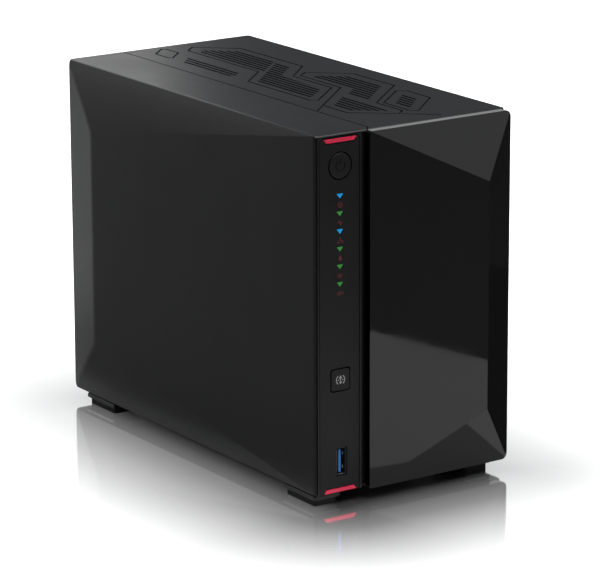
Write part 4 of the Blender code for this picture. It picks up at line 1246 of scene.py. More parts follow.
def mark_loops(kind, x, z):
    """Outlines of one printed mark, about three millimetres across."""
    if kind == "ring_dot":
        return [circle((x, z), 1.30, 32), circle((x, z), 0.95, 32), circle((x, z), 0.38, 20)]
    if kind == "pulse":
        return ribbon([(x - 1.6, z), (x - 0.7, z), (x - 0.3, z + 1.0), (x + 0.35, z - 1.0), (x + 0.7, z),
                       (x + 1.6, z)], 0.34)
    if kind == "tree":
        squares = [rectangle((x - 0.45, z + 0.45), (x + 0.45, z + 1.25))]
        squares += [rectangle((x + side * 1.05 - 0.45, z - 1.25), (x + side * 1.05 + 0.45, z - 0.5))
                    for side in (-1, 1)]
        squares += [ribbon([(x - 1.05, z - 0.45), (x - 1.05, z - 0.05), (x + 1.05, z - 0.05),
                            (x + 1.05, z - 0.45)], 0.26)[0]]
        return squares
    if kind == "plug":
        return [rectangle((x - 0.75, z - 1.2), (x + 0.75, z + 0.3)),
                rectangle((x - 0.5, z + 0.45), (x - 0.15, z + 1.2)),
                rectangle((x + 0.15, z + 0.45), (x + 0.5, z + 1.2))]
    bars = 1 if kind == "drive_one" else 2
    loops = [circle((x - 0.6, z), 0.95, 28), circle((x - 0.6, z), 0.62, 28), circle((x - 0.6, z), 0.25, 16)]
    for bar in range(bars):
        loops.append(rectangle((x + 0.75 + bar * 0.6, z - 0.8), (x + 1.05 + bar * 0.6, z + 0.8)))
    return loops


MARK_KINDS = ["ring_dot", "pulse", "tree", "plug", "drive_one", "drive_two"]
MARK_DROP = 4.1               # from an indicator down to its mark


def build_marks():
    """Printed marks under the indicators."""
    places = strip_sizes()
    front = places["front"]
    marks = []
    for kind, z in zip(MARK_KINDS, places["lights"]):
        marks.append(prism("mark_" + kind, mark_loops(kind, places["x"], z - MARK_DROP), "XZ",
                           front - 0.04, front + 0.06))
    print_layer = merge("indicator_marks", marks)
    polish(print_layer, 0)
    fit(print_layer, "enclosure", "accent_red", ["mark"])


def build_power_key():
    """Round key: dished cap with an engraved on and off sign, flange and stem."""
    strip = bpy.context.scene.enclosure_strip
    places = strip_sizes()
    low, high = node_box("power_button")
    x, z = places["x"], places["power_z"]
    radius = strip.power_radius / MM
    builder = bmesh.new()
    profile = [(0.0, 0.28), (radius * 0.35, 0.25), (radius * 0.7, 0.12), (radius - 0.9, 0.02),
               (radius - 0.55, 0.0), (radius - 0.25, 0.08), (radius - 0.06, 0.28), (radius, 0.6),
               (radius, 5.0), (radius + 1.6, 5.0), (radius + 1.6, 6.1), (1.6, 6.1),
               (1.6, high.y - low.y), (0.0, high.y - low.y)]
    add_turned(builder, profile, (x, low.y, z), "Y", 72)
    key = new_item("power_key_cap", mesh_from(builder, "power_key_cap"))
    sign = prism("power_sign", [arc_band((x, z), 2.15, 2.75, 125, 415, 28)], "XZ", low.y - 2, low.y + 0.55)
    stroke = box_item("power_stroke", ((x - 0.3, low.y - 2, z + 0.4), (x + 0.3, low.y + 0.55, z + 3.3)))
    carve(key, sign, stroke)
    polish(key, 0)
    fit(key, "power_key", "strip_plastic", ["strip"], "power_button")


def build_copy_key():
    """Square key with a printed ring and two arrows, flange and stem."""
    strip = bpy.context.scene.enclosure_strip
    places = strip_sizes()
    low, high = node_box("copy_button")
    x, z = places["x"], places["copy_z"]
    side = strip.copy_side / MM
    half = (high.x - low.x) / 2
    key = prism("copy_key_cap", [round_rectangle((x, z), side, side, 1.3, 6)], "XZ", low.y, low.y + 5.6)
    flange = box_item("copy_flange", ((x - half, low.y + 5.2, z - half), (x + half, low.y + 6.1, z + half)))
    stem = rod_item("copy_stem", [("Y", (x, low.y + 6.0, z), 1.6, high.y - low.y - 6.0)])
    unite(key, flange, stem)
    polish(key, 0.4, 4)
    fit(key, "copy_key", "strip_plastic", ["strip"], "copy_button")
    front = low.y
    signs = [prism("copy_ring_%d" % turn, [arc_band((x, z), 2.1, 2.5, turn + 35, turn + 145, 14)], "XZ",
                   front - 0.04, front + 0.08) for turn in (90, 270)]
    signs.append(prism("copy_arrow", [[(x - 0.2, z - 0.7), (x + 0.2, z - 0.7), (x + 0.2, z + 0.7),
                                       (x + 0.85, z + 0.7), (x, z + 2.1), (x - 0.85, z + 0.7),
                                       (x - 0.2, z + 0.7)]], "XZ", front - 0.04, front + 0.08))
    signs.append(prism("copy_arrow_tail", [[(x - 0.85, z - 0.9), (x + 0.85, z - 0.9), (x, z - 2.1)]], "XZ",
                       front - 0.04, front + 0.08))
    signs.append(prism("copy_sides", [circle((x - 1.25, z), 0.3, 16), circle((x + 1.25, z), 0.3, 16)], "XZ",
                       front - 0.04, front + 0.08))
    sign = merge("copy_key_sign", signs)
    polish(sign, 0)
    fit(sign, "copy_key", "strip_plastic", ["silver_mark"])


def build_front_port():
    """Upright USB port: folded shell, springs, tongue and contacts."""
    low, high = node_box("front_usb_shell")
    middle = span_middle(low, high)
    width, height = high.x - low.x, high.z - low.z
    shell = prism("front_port_shell", [
        round_rectangle((middle.x, middle.z), width, height, 0.9, 5),
        round_rectangle((middle.x, middle.z), width - 0.7, height - 0.7, 0.6, 5)], "XZ", low.y, high.y)
    slots = []
    for z in (middle.z - 3.2, middle.z + 3.2):
        slots.append(((high.x - 1.0, low.y + 2.0, z - 1.3), (high.x + 1.0, low.y + 8.0, z - 1.0)))
        slots.append(((high.x - 1.0, low.y + 2.0, z + 1.0), (high.x + 1.0, low.y + 8.0, z + 1.3)))
    carve(shell, box_item("spring_cuts", *slots))
    polish(shell, 0.12, 2)
    # The front rim, the upright walls and the upper half of the steel shell take the dark powder coat as
    # painted shade; only the lower inner wall, which faces up into the light, keeps the bright steel.
    for face in shell.data.polygons:
        upright = abs(face.normal.z) < 0.7 or face.center.z > middle.z
        if face.center.y < low.y + 0.3 or upright:
            face.material_index = 1
    fit(shell, "enclosure", "steel", ["bright_steel", "powder_coat"], "front_usb_shell")
    fingers = bmesh.new()
    for z in (middle.z - 3.2, middle.z + 3.2):
        add_box(fingers, (high.x - 1.05, low.y + 1.6, z - 0.8), (high.x - 0.75, low.y + 7.0, z + 0.8))
        add_box(fingers, (middle.x - 1.2, low.y + 0.2, low.z + 0.42),
                (middle.x + 1.2, low.y + 1.6, low.z + 0.62))
    springs = new_item("front_port_springs", mesh_from(fingers, "front_port_springs"))
    polish(springs, 0.12, 2)
    fit(springs, "enclosure", "steel", ["zinc"])
    tongue_low, tongue_high = node_box("front_usb_tongue")
    face_x = middle.x - 1.05
    tongue = box_item("front_port_tongue", ((face_x, tongue_low.y, tongue_low.z + 0.4),
                                            (middle.x + 0.4, tongue_high.y, tongue_high.z - 0.4)))
    block = box_item("port_block", ((tongue_low.x, tongue_high.y - 5.0, tongue_low.z), tongue_high))
    unite(tongue, block)
    polish(tongue, 0.3, 3)
    fit(tongue, "enclosure", "usb_blue", ["usb_blue"], "front_usb_tongue")
    bed = box_item("front_port_bed", ((face_x - 0.12, tongue_low.y + 0.35, tongue_low.z + 0.6),
                                      (face_x + 0.1, tongue_high.y - 5.2, tongue_high.z - 0.6)))
    polish(bed, 0.05, 2)
    fit(bed, "enclosure", "inner_plastic", ["chip"])
    pins = bmesh.new()
    for k in range(5):
        z = middle.z - 3.9 + k * 1.95
        add_box(pins, (face_x - 0.26, tongue_low.y + 0.8, z - 0.4), (face_x, tongue_low.y + 2.0, z + 0.4))
        add_box(pins, (face_x - 0.22, tongue_low.y + 3.4, z - 0.4), (face_x, tongue_low.y + 7.0, z + 0.4))
    contacts = new_item("front_port_contacts", mesh_from(pins, "front_port_contacts"))
    polish(contacts, 0.06, 2)
    fit(contacts, "enclosure", "steel", ["gold"])


# ---------------------------------------------------------------- cover

RIM_DEPTH = 3.6               # from the cover's front rim back to its open side


def cover_points(inset, back):
    """Corner points of the faceted cover, drawn in by a wall thickness."""
    cover = bpy.context.scene.enclosure_cover
    low, high = node_box("front_cover")
    edge = low.y + cover.rise / MM
    points = []
    for x in (low.x + inset, high.x - inset):
        for z in (low.z + inset, high.z - inset):
            points += [(x, back, z), (x, edge + inset, z)]
    for z in (cover.peak_foot / MM, cover.peak_top / MM):
        points.append((cover.peak_x / MM, low.y + inset, z))
    return points


def bevel_edges(builder, chosen, offset, segments):
    """Round some edges of a bmesh."""
    bmesh.ops.bevel(builder, geom=chosen, offset=offset, segments=segments, profile=0.5, affect="EDGES",
                    clamp_overlap=True)


def cover_back():
    """Place of the cover's open back, along the case."""
    return node_box("front_cover")[0].y + bpy.context.scene.enclosure_cover.rise / MM + RIM_DEPTH


def cover_builder():
    """The cover's outside with its corners, ridges and rim rounded in turn."""
    cover = bpy.context.scene.enclosure_cover
    builder = hull_builder(cover_points(0.0, cover_back()))
    corners = {"right": [], "left": []}
    for edge in builder.edges:
        run = edge.verts[1].co - edge.verts[0].co
        if abs(run.y) > 0.95 * run.length:
            corners["right" if edge.verts[0].co.x > 0 else "left"].append(edge)
    bevel_edges(builder, corners["right"], cover.corner / MM, 6)
    bevel_edges(builder, [e for e in corners["left"] if e.is_valid], 1.2, 4)
    ridges = []
    for edge in builder.edges:
        facing = [face.normal.y < -0.9 for face in edge.link_faces]
        if all(facing) and edge.calc_face_angle(0.0) > math.radians(2):
            ridges.append(edge)
    bevel_edges(builder, ridges, cover.ridge_round / MM, 2)
    builder.normal_update()
    rim = []
    for edge in builder.edges:
        facing = sorted(face.normal.y < -0.9 for face in edge.link_faces)
        if facing == [False, True] and edge.calc_face_angle(0.0) > math.radians(50):
            rim.append(edge)
    bevel_edges(builder, rim, cover.edge_round / MM, 5)
    return builder


def hollow_cover():
    """The rounded outside and the plain inside of the cover, joined round its open back."""
    cover = bpy.context.scene.enclosure_cover
    outside = cover_builder()
    inside = hull_builder(cover_points(cover.wall / MM, cover_back()))
    shell = bmesh.new()
    for builder in (outside, inside):
        builder.normal_update()
        rear = [face for face in builder.faces if face.normal.y > 0.9]
        bmesh.ops.delete(builder, geom=rear, context="FACES_ONLY")
        holder = bpy.data.meshes.new("cover_half")
        builder.to_mesh(holder)
        builder.free()
        shell.from_mesh(holder)
        bpy.data.meshes.remove(holder)
    rims = [edge for edge in shell.edges if len(edge.link_faces) == 1]
    bmesh.ops.bridge_loops(shell, edges=rims)
    return shell


def build_cover():
    """Gloss cover: hollow faceted skin with locating rim and magnet bosses."""
    cover = bpy.context.scene.enclosure_cover
    wall = cover.wall / MM
    low, high = node_box("front_cover")
    edge = low.y + cover.rise / MM
    skin = new_item("gloss_cover", mesh_from(hollow_cover(), "gloss_cover"))
    polish(skin, 0.15, 2, 60)
    fit(skin, "cover", "gloss_cover", ["cover"], "front_cover")
    outer = ((low.x + high.x) / 2, (low.z + high.z) / 2)
    width = high.x - low.x - 2 * wall + 0.7
    height = high.z - low.z - 2 * wall + 0.7
    ledge = prism("cover_ledge", [round_rectangle(outer, width, height, 2.0),
                                  round_rectangle(outer, width - 3.2, height - 3.2, 1.2)],
                  "XZ", edge + 2.4, high.y)
    bosses = bmesh.new()
    for number in range(1, 5):
        magnet_low, magnet_high = node_box("cover_magnet_%d" % number)
        spot = span_middle(magnet_low, magnet_high)
        radius = (magnet_high.x - magnet_low.x) / 2
        profile = [(radius + 0.3, 2.3), (radius + 0.3, 0.0), (radius + 0.5, -0.1), (radius + 1.1, -0.1),
                   (radius + 1.3, 0.2), (radius + 1.3, 2.3)]
        add_turned(bosses, [(r, magnet_high.y - spot.y - h + 0.1) for r, h in profile], spot, "Y", 32)
    for z in range(40, 150, 27):
        add_box(bosses, (low.x + wall + 2.0, edge + 1.6, z), (high.x - wall - 12.0, edge + 2.6, z + 1.2))
    boss_item = new_item("cover_bosses", mesh_from(bosses, "cover_bosses"))
    backing = merge("cover_backing", [ledge, boss_item])
    polish(backing, 0.2, 2)
    fit(backing, "cover", "inner_plastic", ["inner"])
    keep_nodes(["cover_magnet_%d" % n for n in (1, 2, 3, 4)], 0.3)


# ---------------------------------------------------------------- feet

def build_feet():
    """Moulded plinth and rubber pad of each foot."""
    for number in (1, 2, 3, 4):
        node = "foot_%d" % number
        low, high = node_box(node)
        plinth = box_item(node + "_plinth", ((low.x, low.y, low.z + 2.9), high))
        polish(plinth, 0.7, 3)
        fit(plinth, "enclosure", "shell_plastic", ["shell"], node)
        middle = span_middle(low, high)
        pad = prism(node + "_pad", [round_rectangle((middle.x, middle.y), high.x - low.x - 2.2,
                                                    high.y - low.y - 2.4, 1.6)], "XY", low.z, low.z + 3.1)
        ribs = bmesh.new()
        for k in range(5):
            y = middle.y - 8.0 + k * 4.0
            add_box(ribs, (low.x - 1, y - 0.35, low.z - 1), (high.x + 1, y + 0.35, low.z + 0.45))
        carve(pad, new_item("pad_ribs", mesh_from(ribs, "pad_ribs")))
        polish(pad, 0.25, 2)
        fit(pad, "enclosure", "rubber", ["rubber"])


# ---------------------------------------------------------------- bays, boards and rear

def build_bays():
    """Cage, catch plates, trays, levers, latch keys and rails."""
    keep_nodes(["drive_cage"], 0.22)
    keep_nodes(["catch_plate_lower", "catch_plate_upper", "base_plate"], 0.25)
    names = []
    for number in (1, 2):
        names += ["drive_tray_%d" % number, "tray_handle_%d" % number]
    keep_nodes(names, 0.45, 3)
    keep_nodes(["tray_latch_1", "tray_latch_2", "tray_rail_1_upper", "tray_rail_1_lower",
                "tray_rail_2_upper", "tray_rail_2_lower"], 0)
    for number in (1, 2):
        low, high = node_box("tray_latch_%d" % number)
        middle = span_middle(low, high)
        grips = bmesh.new()
        for k in range(4):
            z = middle.z - 2.4 + k * 1.6
            add_box(grips, (middle.x - 6.0, low.y - 0.25, z - 0.3), (middle.x + 6.0, low.y + 0.2, z + 0.3))
        grip = new_item("latch_grip_%d" % number, mesh_from(grips, "latch_grip"))
        polish(grip, 0.2, 2)
        fit(grip, "latch_%d" % number, "accent_red", ["accent"])
        build_tray_screws(number)


def build_tray_screws(number):
    """Drive screws standing in the tray's side wall."""
    tray_low = node_box("drive_tray_%d" % number)[0]
    builder = bmesh.new()
    profile = [(0.0, 0.9), (0.9, 0.9), (1.0, 0.5), (1.3, 0.5),
               (2.1, 0.35), (2.4, -0.1), (2.4, -0.4), (0.0, -0.4)]
    for y in (-84.0, -22.0, 38.0):
        for z in (57.0, 148.0):
            add_turned(builder, profile, (tray_low.x + 2.3, y, z), "X", 28)
    screws = new_item("tray_screws_%d" % number, mesh_from(builder, "tray_screws"))
    polish(screws, 0)
    fit(screws, "tray_%d" % number, "steel", ["bright_steel"])


def build_boards():
    """Boards, connectors, heat sink and memory, with small soldered parts."""
    keep_nodes(["front_board", "backplane_board", "main_board", "memory_module"], 0.15)
    keep_nodes(["sata_connector_1", "sata_connector_2", "board_slot", "memory_socket"], 0.25)
    keep_nodes(["heat_sink"], 0.3)
    module_low, module_high = node_box("memory_module")
    builder = bmesh.new()
    for k in range(4):
        y = module_low.y + 5.0 + k * 15.6
        add_box(builder, (module_low.x + 6.0, y, module_high.z - 0.02),
                (module_low.x + 17.0, y + 11.5, module_high.z + 0.9))
    board_low = node_box("backplane_board")[0]
    for left in (-19.0, 17.2):
        for z in (112.0, 124.0, 136.0):
            add_box(builder, (left + 12.0, board_low.y - 1.2, z), (left + 19.0, board_low.y + 0.02, z + 5.0))
    main_top = node_box("memory_socket")[0].z - 0.3
    for x, y in ((-44, 46), (-44, 52), (-24, 60), (26, 40), (34, 40), (42, 40), (8, 62), (16, 62)):
        add_box(builder, (x, y, main_top - 0.02), (x + 4.0, y + 4.0, main_top + 1.2))
    chips = new_item("board_chips", mesh_from(builder, "board_chips"))
    polish(chips, 0.18, 2)
    fit(chips, "enclosure", "inner_plastic", ["chip"])
    builder = bmesh.new()
    profile = [(0.0, 0.0), (2.4, 0.0), (2.5, 0.5), (2.3, 0.9), (2.5, 1.3), (2.5, 5.6), (2.2, 6.0), (0.0, 6.0)]
    for x, y in ((-24, 48), (-24, 40), (-24, 32), (8, 74), (16, 74), (24, 74), (32, 74)):
        add_turned(builder, profile, (x, y, main_top + 0.02), "Z", 28)
    cans = new_item("board_capacitors", mesh_from(builder, "board_capacitors"))
    polish(cans, 0)
    fit(cans, "enclosure", "aluminium", ["aluminium"])


def build_rear():
    """Rear panel, port plate, ports and screws."""
    keep_nodes(["rear_panel", "port_plate"], 0.25)
    keep_nodes(["lan_port_1", "lan_port_2", "rear_usb_shell", "hdmi_port"], 0.18)
    keep_nodes(["rear_usb_tongue_1", "rear_usb_tongue_2", "dc_jack"], 0.25)
    keep_nodes(["fan_screw_%d" % n for n in (1, 2, 3, 4)] + ["case_screw_1", "case_screw_2"], 0.15)
    wires = bmesh.new()
    lamps = bmesh.new()
    for name in ("lan_port_1", "lan_port_2"):
        low, high = node_box(name)
        middle = span_middle(low, high)
        for k in range(8):
            x = middle.x - 3.57 + k * 1.02
            add_box(wires, (x - 0.18, high.y - 11.0, low.z + 10.6), (x + 0.18, high.y - 2.4, low.z + 10.9))
        for side in (-1, 1):
            lamp_x = middle.x + side * 5.4
            add_box(lamps, (lamp_x - 1.6, high.y - 0.1, high.z - 1.35),
                    (lamp_x + 1.6, high.y + 0.12, high.z - 0.35), 0 if side < 0 else 1)
    for name in ("rear_usb_tongue_1", "rear_usb_tongue_2"):
        low, high = node_box(name)
        middle = span_middle(low, high)
        for k in range(4):
            x = middle.x - 3.9 + k * 2.6
            add_box(wires, (x - 0.6, high.y - 8.0, low.z + 3.0), (x + 0.6, high.y - 0.8, low.z + 3.12))
    contacts = new_item("rear_contacts", mesh_from(wires, "rear_contacts"))
    polish(contacts, 0.04, 2)
    fit(contacts, "enclosure", "steel", ["gold"])
    lights = new_item("port_lamps", mesh_from(lamps, "port_lamps"))
    polish(lights, 0.1, 2)
    fit(lights, "enclosure", "clear_guide", ["green_lens", "mark"])


BLADES = 7


def build_fan():
    """Fan frame, and a rotor with domed hub and swept, curved blades."""
    keep_nodes(["fan_frame"], 0.6, 3)
    low, high = node_box("fan_rotor")
    frame_low, frame_high = node_box("fan_frame")
    middle = Vector(((frame_low.x + frame_high.x) / 2, 0.0, (frame_low.z + frame_high.z) / 2))
    front = frame_low.y + 2.0
    rear = frame_high.y - 2.8
    builder = bmesh.new()
    hub = 16.5
    profile = [(0.0, 0.0), (hub - 3.0, 0.0), (hub - 1.2, 0.35), (hub - 0.3, 1.2), (hub, 2.6),
               (hub, rear - front), (0.0, rear - front)]
    add_turned(builder, profile, (middle.x, front, middle.z), "Y", 64)
    add_rod(builder, "Y", (middle.x, rear - 0.5, middle.z), 1.6, high.y - rear + 0.5, 20)
    tip = (high.x - low.x) / 2 - 0.3
    across = 10
    along = 8
    for blade in range(BLADES):
        base = 2 * math.pi * blade / BLADES
        skins = []
        for side in (0.0, 1.1):
            sheet = []
            for i in range(across + 1):
                radius = hub - 0.6 + (tip - hub + 0.6) * i / across
                row = []
                for j in range(along + 1):
                    share = j / along
                    sweep = math.radians(34 * share + 9 * (i / across) ** 2)
                    bow = 1.6 * math.sin(math.pi * share)
                    y = front + 3.0 + (rear - front - 6.0) * share + bow * (1 - side)
                    angle = base - sweep
                    row.append(builder.verts.new((middle.x + radius * math.cos(angle), y + side,
                                                  middle.z + radius * math.sin(angle))))
                sheet.append(row)
            skins.append(sheet)
        for sheet in skins:
            for i in range(across):
                for j in range(along):
                    builder.faces.new((sheet[i][j], sheet[i + 1][j], sheet[i + 1][j + 1], sheet[i][j + 1]))
        rims = []
        for sheet in skins:
            rim = [sheet[i][0] for i in range(across + 1)]
            rim += [sheet[across][j] for j in range(1, along + 1)]
            rim += [sheet[i][along] for i in range(across - 1, -1, -1)]
            rim += [sheet[0][j] for j in range(along - 1, 0, -1)]
            rims.append(rim)
        for k in range(len(rims[0])):
            after = (k + 1) % len(rims[0])
            builder.faces.new((rims[0][k], rims[0][after], rims[1][after], rims[1][k]))
    wheel = new_item("fan_wheel_blades", mesh_from(builder, "fan_wheel_blades"))
    polish(wheel, 0)
    fit(wheel, "fan_wheel", "inner_plastic", ["inner"], "fan_rotor")
    label = bmesh.new()
    add_turned(label, [(0.0, 0.0), (11.5, 0.0), (11.8, 0.15), (11.8, 0.3)],
               (middle.x, frame_high.y - 0.05, middle.z), "Y", 48)
    badge = new_item("motor_label", mesh_from(label, "motor_label"))
    polish(badge, 0)
    fit(badge, "enclosure", "inner_plastic", ["silver_mark"])


# ---------------------------------------------------------------- stage

def stage_material(name, colour, roughness):
    """Plain material of a stage piece with faint unevenness."""
    material, tree, shader = start_finish(name, colour, roughness)
    skin = place_group(tree, "mould_grain", {"Grain Size": 0.01})
    tree.links.new(spread(tree, skin.outputs["Sheen Mask"], 0.0, 1.0, roughness, roughness + 0.03),
                   shader.inputs["Roughness"])
    return material


def area_light(name, place, target, size, power, colour=(1.0, 1.0, 1.0)):
    """A soft rectangular light aimed at a point."""
    lamp = bpy.data.lights.new(name, "AREA")
    lamp.shape = "RECTANGLE"
    lamp.size, lamp.size_y = size
    lamp.energy = power
    lamp.color = colour
    item = bpy.data.objects.new(name, lamp)
    bpy.context.scene.collection.objects.link(item)
    item.location = place
    item.rotation_euler = (Vector(target) - Vector(place)).to_track_quat("-Z", "Y").to_euler()
    item.visible_camera = False
    return item


# Floor patches that show only in reflections, as painted reflection tones for the cover and the left side;
# outlines are x, y in millimetres.
FRONT_PAINTED_REFLECTION = [(30.0, -602.0), (138.0, -282.0), (100.0, -180.0), (400.0, -400.0), (900.0, -2600.0),
              (-300.0, -2600.0)]
CORNER_PAINTED_REFLECTION = [(100.0, -180.0), (75.0, -118.0), (62.0, -60.0), (400.0, -20.0), (400.0, -400.0)]
RIGHT_PAINTED_REFLECTION = [(400.0, -20.0), (2400.0, -20.0), (2400.0, -2600.0), (900.0, -2600.0), (400.0, -400.0)]
NEAR_PAINTED_REFLECTION = [(-30.0, -150.0), (60.0, -150.0), (60.0, -112.0), (-30.0, -112.0)]
SIDE_PAINTED_REFLECTION = [(-69.0, -900.0), (-69.0, 230.0), (-980.0, 1990.0), (-3000.0, 1990.0), (-3000.0, -900.0)]
PAINTED_REFLECTION_TOP = 0.006              # height of the painted reflection patches over the floor
FLOOR_EDGE = 6000.0           # the floor runs this far each way
FLOOR_ROUGHNESS = 0.05
# Middle and half size of the block, in metres, from which the floor's mirror image fades.
FADE_MIDDLE = (0.006, -0.004, 0.0)
FADE_HALF = (0.048, 0.104, 1.0)


def floor_finish(name, mirrored):
    """Pale floor, mirror-like round the case, to the camera, with a painted glow that grows away from the
    case and leaves painted shade round it; reflections see the colour given, which on the patches is a
    painted reflection tone.
    """
    stage = bpy.context.scene.enclosure_stage
    material = stage_material(name, mirrored, FLOOR_ROUGHNESS)
    tree = material.node_tree
    shader = tree.nodes["Principled BSDF"]
    seen = add_node(tree, "ShaderNodeLightPath").outputs["Is Camera Ray"]
    away = place_group(tree, "fade_outward", {"Middle": FADE_MIDDLE, "Half Size": FADE_HALF,
                                              "Reach": stage.floor_reach}).outputs["Mask"]
    tint(tree, shader, seen, stage.floor_colour)
    near = spread(tree, away, 0.2, 1.0, stage.floor_gloss, 0.1)
    tree.links.new(times(tree, seen, near), shader.inputs["Metallic"])
    # Emission that grows with distance from the case: a painted glow on the floor that leaves painted shade
    # round the case.
    lift = spread(tree, away, 0.0, 1.0, 0.0, stage.floor_lift)
    tree.links.new(times(tree, seen, lift), shader.inputs["Emission Color"])
    shader.inputs["Emission Strength"].default_value = 1.0
    shader.inputs["Specular IOR Level"].default_value = 0.0
    return material


def build_floor():
    """Pale floor with five patches of painted reflection tone; the camera sees them as floor, reflections in
    their own tone.
    """
    stage = bpy.context.scene.enclosure_stage
    around = [(-FLOOR_EDGE, -FLOOR_EDGE), (FLOOR_EDGE, -FLOOR_EDGE),
              (FLOOR_EDGE, FLOOR_EDGE), (-FLOOR_EDGE, FLOOR_EDGE)]
    fields = (
        ("floor", around, 0.0, stage.floor_colour),
        ("floor_front_felt", FRONT_PAINTED_REFLECTION, PAINTED_REFLECTION_TOP, stage.front_painted_reflection),
        ("floor_corner_felt", CORNER_PAINTED_REFLECTION, PAINTED_REFLECTION_TOP, stage.corner_painted_reflection),
        ("floor_right_felt", RIGHT_PAINTED_REFLECTION, PAINTED_REFLECTION_TOP, stage.right_painted_reflection),
        ("floor_near_felt", NEAR_PAINTED_REFLECTION, PAINTED_REFLECTION_TOP, stage.near_painted_reflection),
        ("floor_side_felt", SIDE_PAINTED_REFLECTION, PAINTED_REFLECTION_TOP, stage.side_painted_reflection),
    )
    for name, outline, top, mirrored in fields:
        field = prism(name, [outline], "XY", top, top)
        field.data.materials.append(floor_finish(name, mirrored))


def light_only(lamp, pieces):
    """Let a light fall on some pieces and on nothing else."""
    group = bpy.data.collections.new(lamp.name + "_reach")
    for piece in pieces:
        group.objects.link(piece)
    lamp.light_linking.receiver_collection = group


def build_lights():
    """Softboxes over, before, beside and behind the case, and a dim room seen only in reflections."""
    stage = bpy.context.scene.enclosure_stage
    area_light("overhead_softbox", (0.15, -0.35, 1.45), (0.0, 0.0, 0.05), (1.3, 1.3), stage.key_power)
    area_light("front_softbox", (0.9, -1.35, 0.2), (0.0, -0.1, 0.16), (1.2, 0.3), stage.front_power)
    area_light("roof_softbox", (0.12, 0.55, 0.36), (0.0, 0.05, 0.17), (0.3, 0.2), stage.roof_power)
    area_light("side_softbox", (-0.45, 1.5, 0.38), (-0.05, 0.0, 0.09), (0.6, 0.3), stage.side_power)
    area_light("bevel_softbox", (-0.95, 1.15, 0.26), (-0.05, 0.0, 0.15), (0.5, 0.3), stage.bevel_power)
    backdrop = area_light("rear_softbox", (0.82, 1.45, 0.50), (0.0, 0.0, 0.05), (1.8, 1.0),
                          stage.rear_power)
    floors = [item for item in bpy.data.objects if item.name.startswith("floor")]
    light_only(backdrop, floors + [bpy.data.objects["gloss_cover"]])
    room = bpy.data.worlds.new("studio_room")
    room.use_nodes = True
    tree = room.node_tree
    tree.nodes.clear()
    seen = add_node(tree, "ShaderNodeLightPath")
    dim = add_node(tree, "ShaderNodeBackground", {"Color": (0.9, 0.95, 1.0, 1.0), "Strength": 0.12})
    bright = add_node(tree, "ShaderNodeBackground", {"Color": (1.0, 1.0, 1.0, 1.0), "Strength": 1.0})
    mix = add_node(tree, "ShaderNodeMixShader")
    out = add_node(tree, "ShaderNodeOutputWorld")
    tree.links.new(seen.outputs["Is Camera Ray"], mix.inputs[0])
    tree.links.new(dim.outputs[0], mix.inputs[1])
    tree.links.new(bright.outputs[0], mix.inputs[2])
    tree.links.new(mix.outputs[0], out.inputs["Surface"])
    bpy.context.scene.world = room
    bpy.context.scene.view_settings.view_transform = "Standard"


def build_camera():
    """Long-lens camera from the front left, looking down a little."""
    stage = bpy.context.scene.enclosure_stage
    camera = bpy.data.cameras.new("camera")
    camera.sensor_width = 36.0
    camera.lens = stage.lens
    camera.clip_end = 50.0
    item = bpy.data.objects.new("camera", camera)
    bpy.context.scene.collection.objects.link(item)
    turn = Matrix.Rotation(-stage.turn, 4, "Z")
    tilt = Matrix.Rotation(math.pi / 2 - stage.tilt, 4, "X")
    roll = Matrix.Rotation(stage.roll, 4, "Z")
    item.matrix_world = Matrix.Translation(stage.place) @ turn @ tilt @ roll
    bpy.context.scene.camera = item


# ---------------------------------------------------------------- operators and panel

class ENCLOSURE_OT_casing(bpy.types.Operator):
    """Build the two shells with their seam, roof lines and louvres"""

    bl_idname = "enclosure.casing"
    bl_label = "Casing"

    def execute(self, context):
        build_shells()
        return {"FINISHED"}


class ENCLOSURE_OT_bezel(bpy.types.Operator):
    """Build the frame that closes the front"""

    bl_idname = "enclosure.bezel"
    bl_label = "Bezel"

    def execute(self, context):
        build_bezel()
        return {"FINISHED"}


class ENCLOSURE_OT_strip(bpy.types.Operator):
    """Build the control strip with its inlays, indicators and printed marks"""

    bl_idname = "enclosure.strip"
    bl_label = "Control strip"

    def execute(self, context):
        build_panel()
        build_marks()
        return {"FINISHED"}


class ENCLOSURE_OT_keys(bpy.types.Operator):
    """Build the round and the square key"""

    bl_idname = "enclosure.keys"
    bl_label = "Keys"

    def execute(self, context):
        build_power_key()
        build_copy_key()
        return {"FINISHED"}


class ENCLOSURE_OT_front_port(bpy.types.Operator):
    """Build the upright USB port"""

    bl_idname = "enclosure.front_port"
    bl_label = "Front port"

    def execute(self, context):
        build_front_port()
        return {"FINISHED"}


class ENCLOSURE_OT_cover(bpy.types.Operator):
    """Build the gloss cover with its rim and magnet bosses"""

    bl_idname = "enclosure.cover"
    bl_label = "Cover"

    def execute(self, context):
        build_cover()
        return {"FINISHED"}


class ENCLOSURE_OT_feet(bpy.types.Operator):
    """Build the four feet"""

    bl_idname = "enclosure.feet"
    bl_label = "Feet"

    def execute(self, context):
        build_feet()
        return {"FINISHED"}


class ENCLOSURE_OT_bays(bpy.types.Operator):
    """Finish the cage, trays, levers and latch keys"""

    bl_idname = "enclosure.bays"
    bl_label = "Bays"

    def execute(self, context):
        build_bays()
        return {"FINISHED"}


class ENCLOSURE_OT_boards(bpy.types.Operator):
    """Finish the boards and add their small parts"""

    bl_idname = "enclosure.boards"
    bl_label = "Boards"

    def execute(self, context):
        build_boards()
        return {"FINISHED"}


class ENCLOSURE_OT_rear(bpy.types.Operator):
    """Finish the rear panel and ports, and build the fan wheel"""

    bl_idname = "enclosure.rear"
    bl_label = "Rear and fan"

    def execute(self, context):
        build_rear()
        build_fan()
        return {"FINISHED"}


class ENCLOSURE_OT_stage(bpy.types.Operator):
    """Set the floor, lights and camera"""

    bl_idname = "enclosure.stage"
    bl_label = "Stage"

    def execute(self, context):
        build_floor()
        build_lights()
        build_camera()
        return {"FINISHED"}


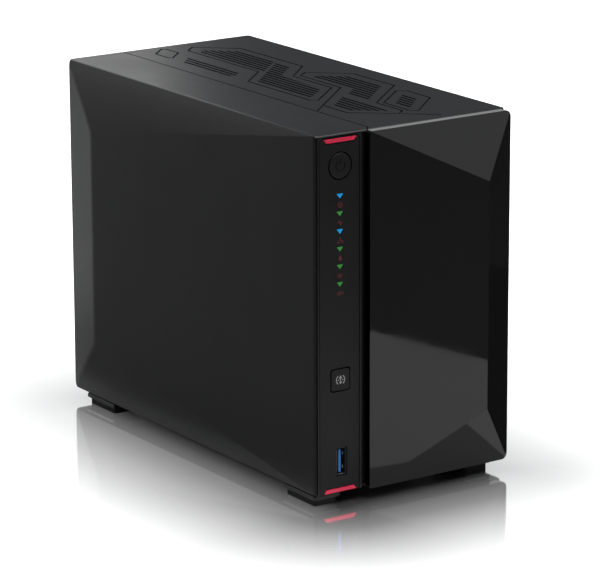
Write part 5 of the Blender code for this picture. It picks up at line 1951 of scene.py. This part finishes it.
class ENCLOSURE_PT_finish(bpy.types.Panel):
    """Settings and steps of the enclosure's finish"""

    bl_label = "Storage enclosure"
    bl_idname = "ENCLOSURE_PT_finish"
    bl_space_type = "VIEW_3D"
    bl_region_type = "UI"
    bl_category = "Enclosure"

    def draw(self, context):
        layout = self.layout
        scene = context.scene
        groups = (scene.enclosure_casing, scene.enclosure_cover, scene.enclosure_strip, scene.enclosure_stage)
        for group in groups:
            section = layout.box()
            for label in group.__annotations__:
                section.prop(group, label)
        for step in STEPS:
            layout.operator(step.bl_idname)


STEPS = (
    ENCLOSURE_OT_casing,
    ENCLOSURE_OT_bezel,
    ENCLOSURE_OT_strip,
    ENCLOSURE_OT_keys,
    ENCLOSURE_OT_front_port,
    ENCLOSURE_OT_cover,
    ENCLOSURE_OT_feet,
    ENCLOSURE_OT_bays,
    ENCLOSURE_OT_boards,
    ENCLOSURE_OT_rear,
    ENCLOSURE_OT_stage,
)
SETTINGS = {
    "enclosure_casing": EnclosureCasingSettings,
    "enclosure_cover": EnclosureCoverSettings,
    "enclosure_strip": EnclosureStripSettings,
    "enclosure_stage": EnclosureStageSettings,
}


def register():
    """Register the settings, the operators and the panel."""
    for name, group in SETTINGS.items():
        bpy.utils.register_class(group)
        setattr(bpy.types.Scene, name, bpy.props.PointerProperty(type=group))
    for step in STEPS:
        bpy.utils.register_class(step)
    bpy.utils.register_class(ENCLOSURE_PT_finish)


def unregister():
    """Take everything out again."""
    bpy.utils.unregister_class(ENCLOSURE_PT_finish)
    for step in reversed(STEPS):
        bpy.utils.unregister_class(step)
    for name, group in SETTINGS.items():
        delattr(bpy.types.Scene, name)
        bpy.utils.unregister_class(group)


def main():
    """Build every piece and the stage."""
    register()
    bpy.ops.enclosure.casing()
    bpy.ops.enclosure.bezel()
    bpy.ops.enclosure.strip()
    bpy.ops.enclosure.keys()
    bpy.ops.enclosure.front_port()
    bpy.ops.enclosure.cover()
    bpy.ops.enclosure.feet()
    bpy.ops.enclosure.bays()
    bpy.ops.enclosure.boards()
    bpy.ops.enclosure.rear()
    bpy.ops.enclosure.stage()


if __name__ == "__main__":
    main()
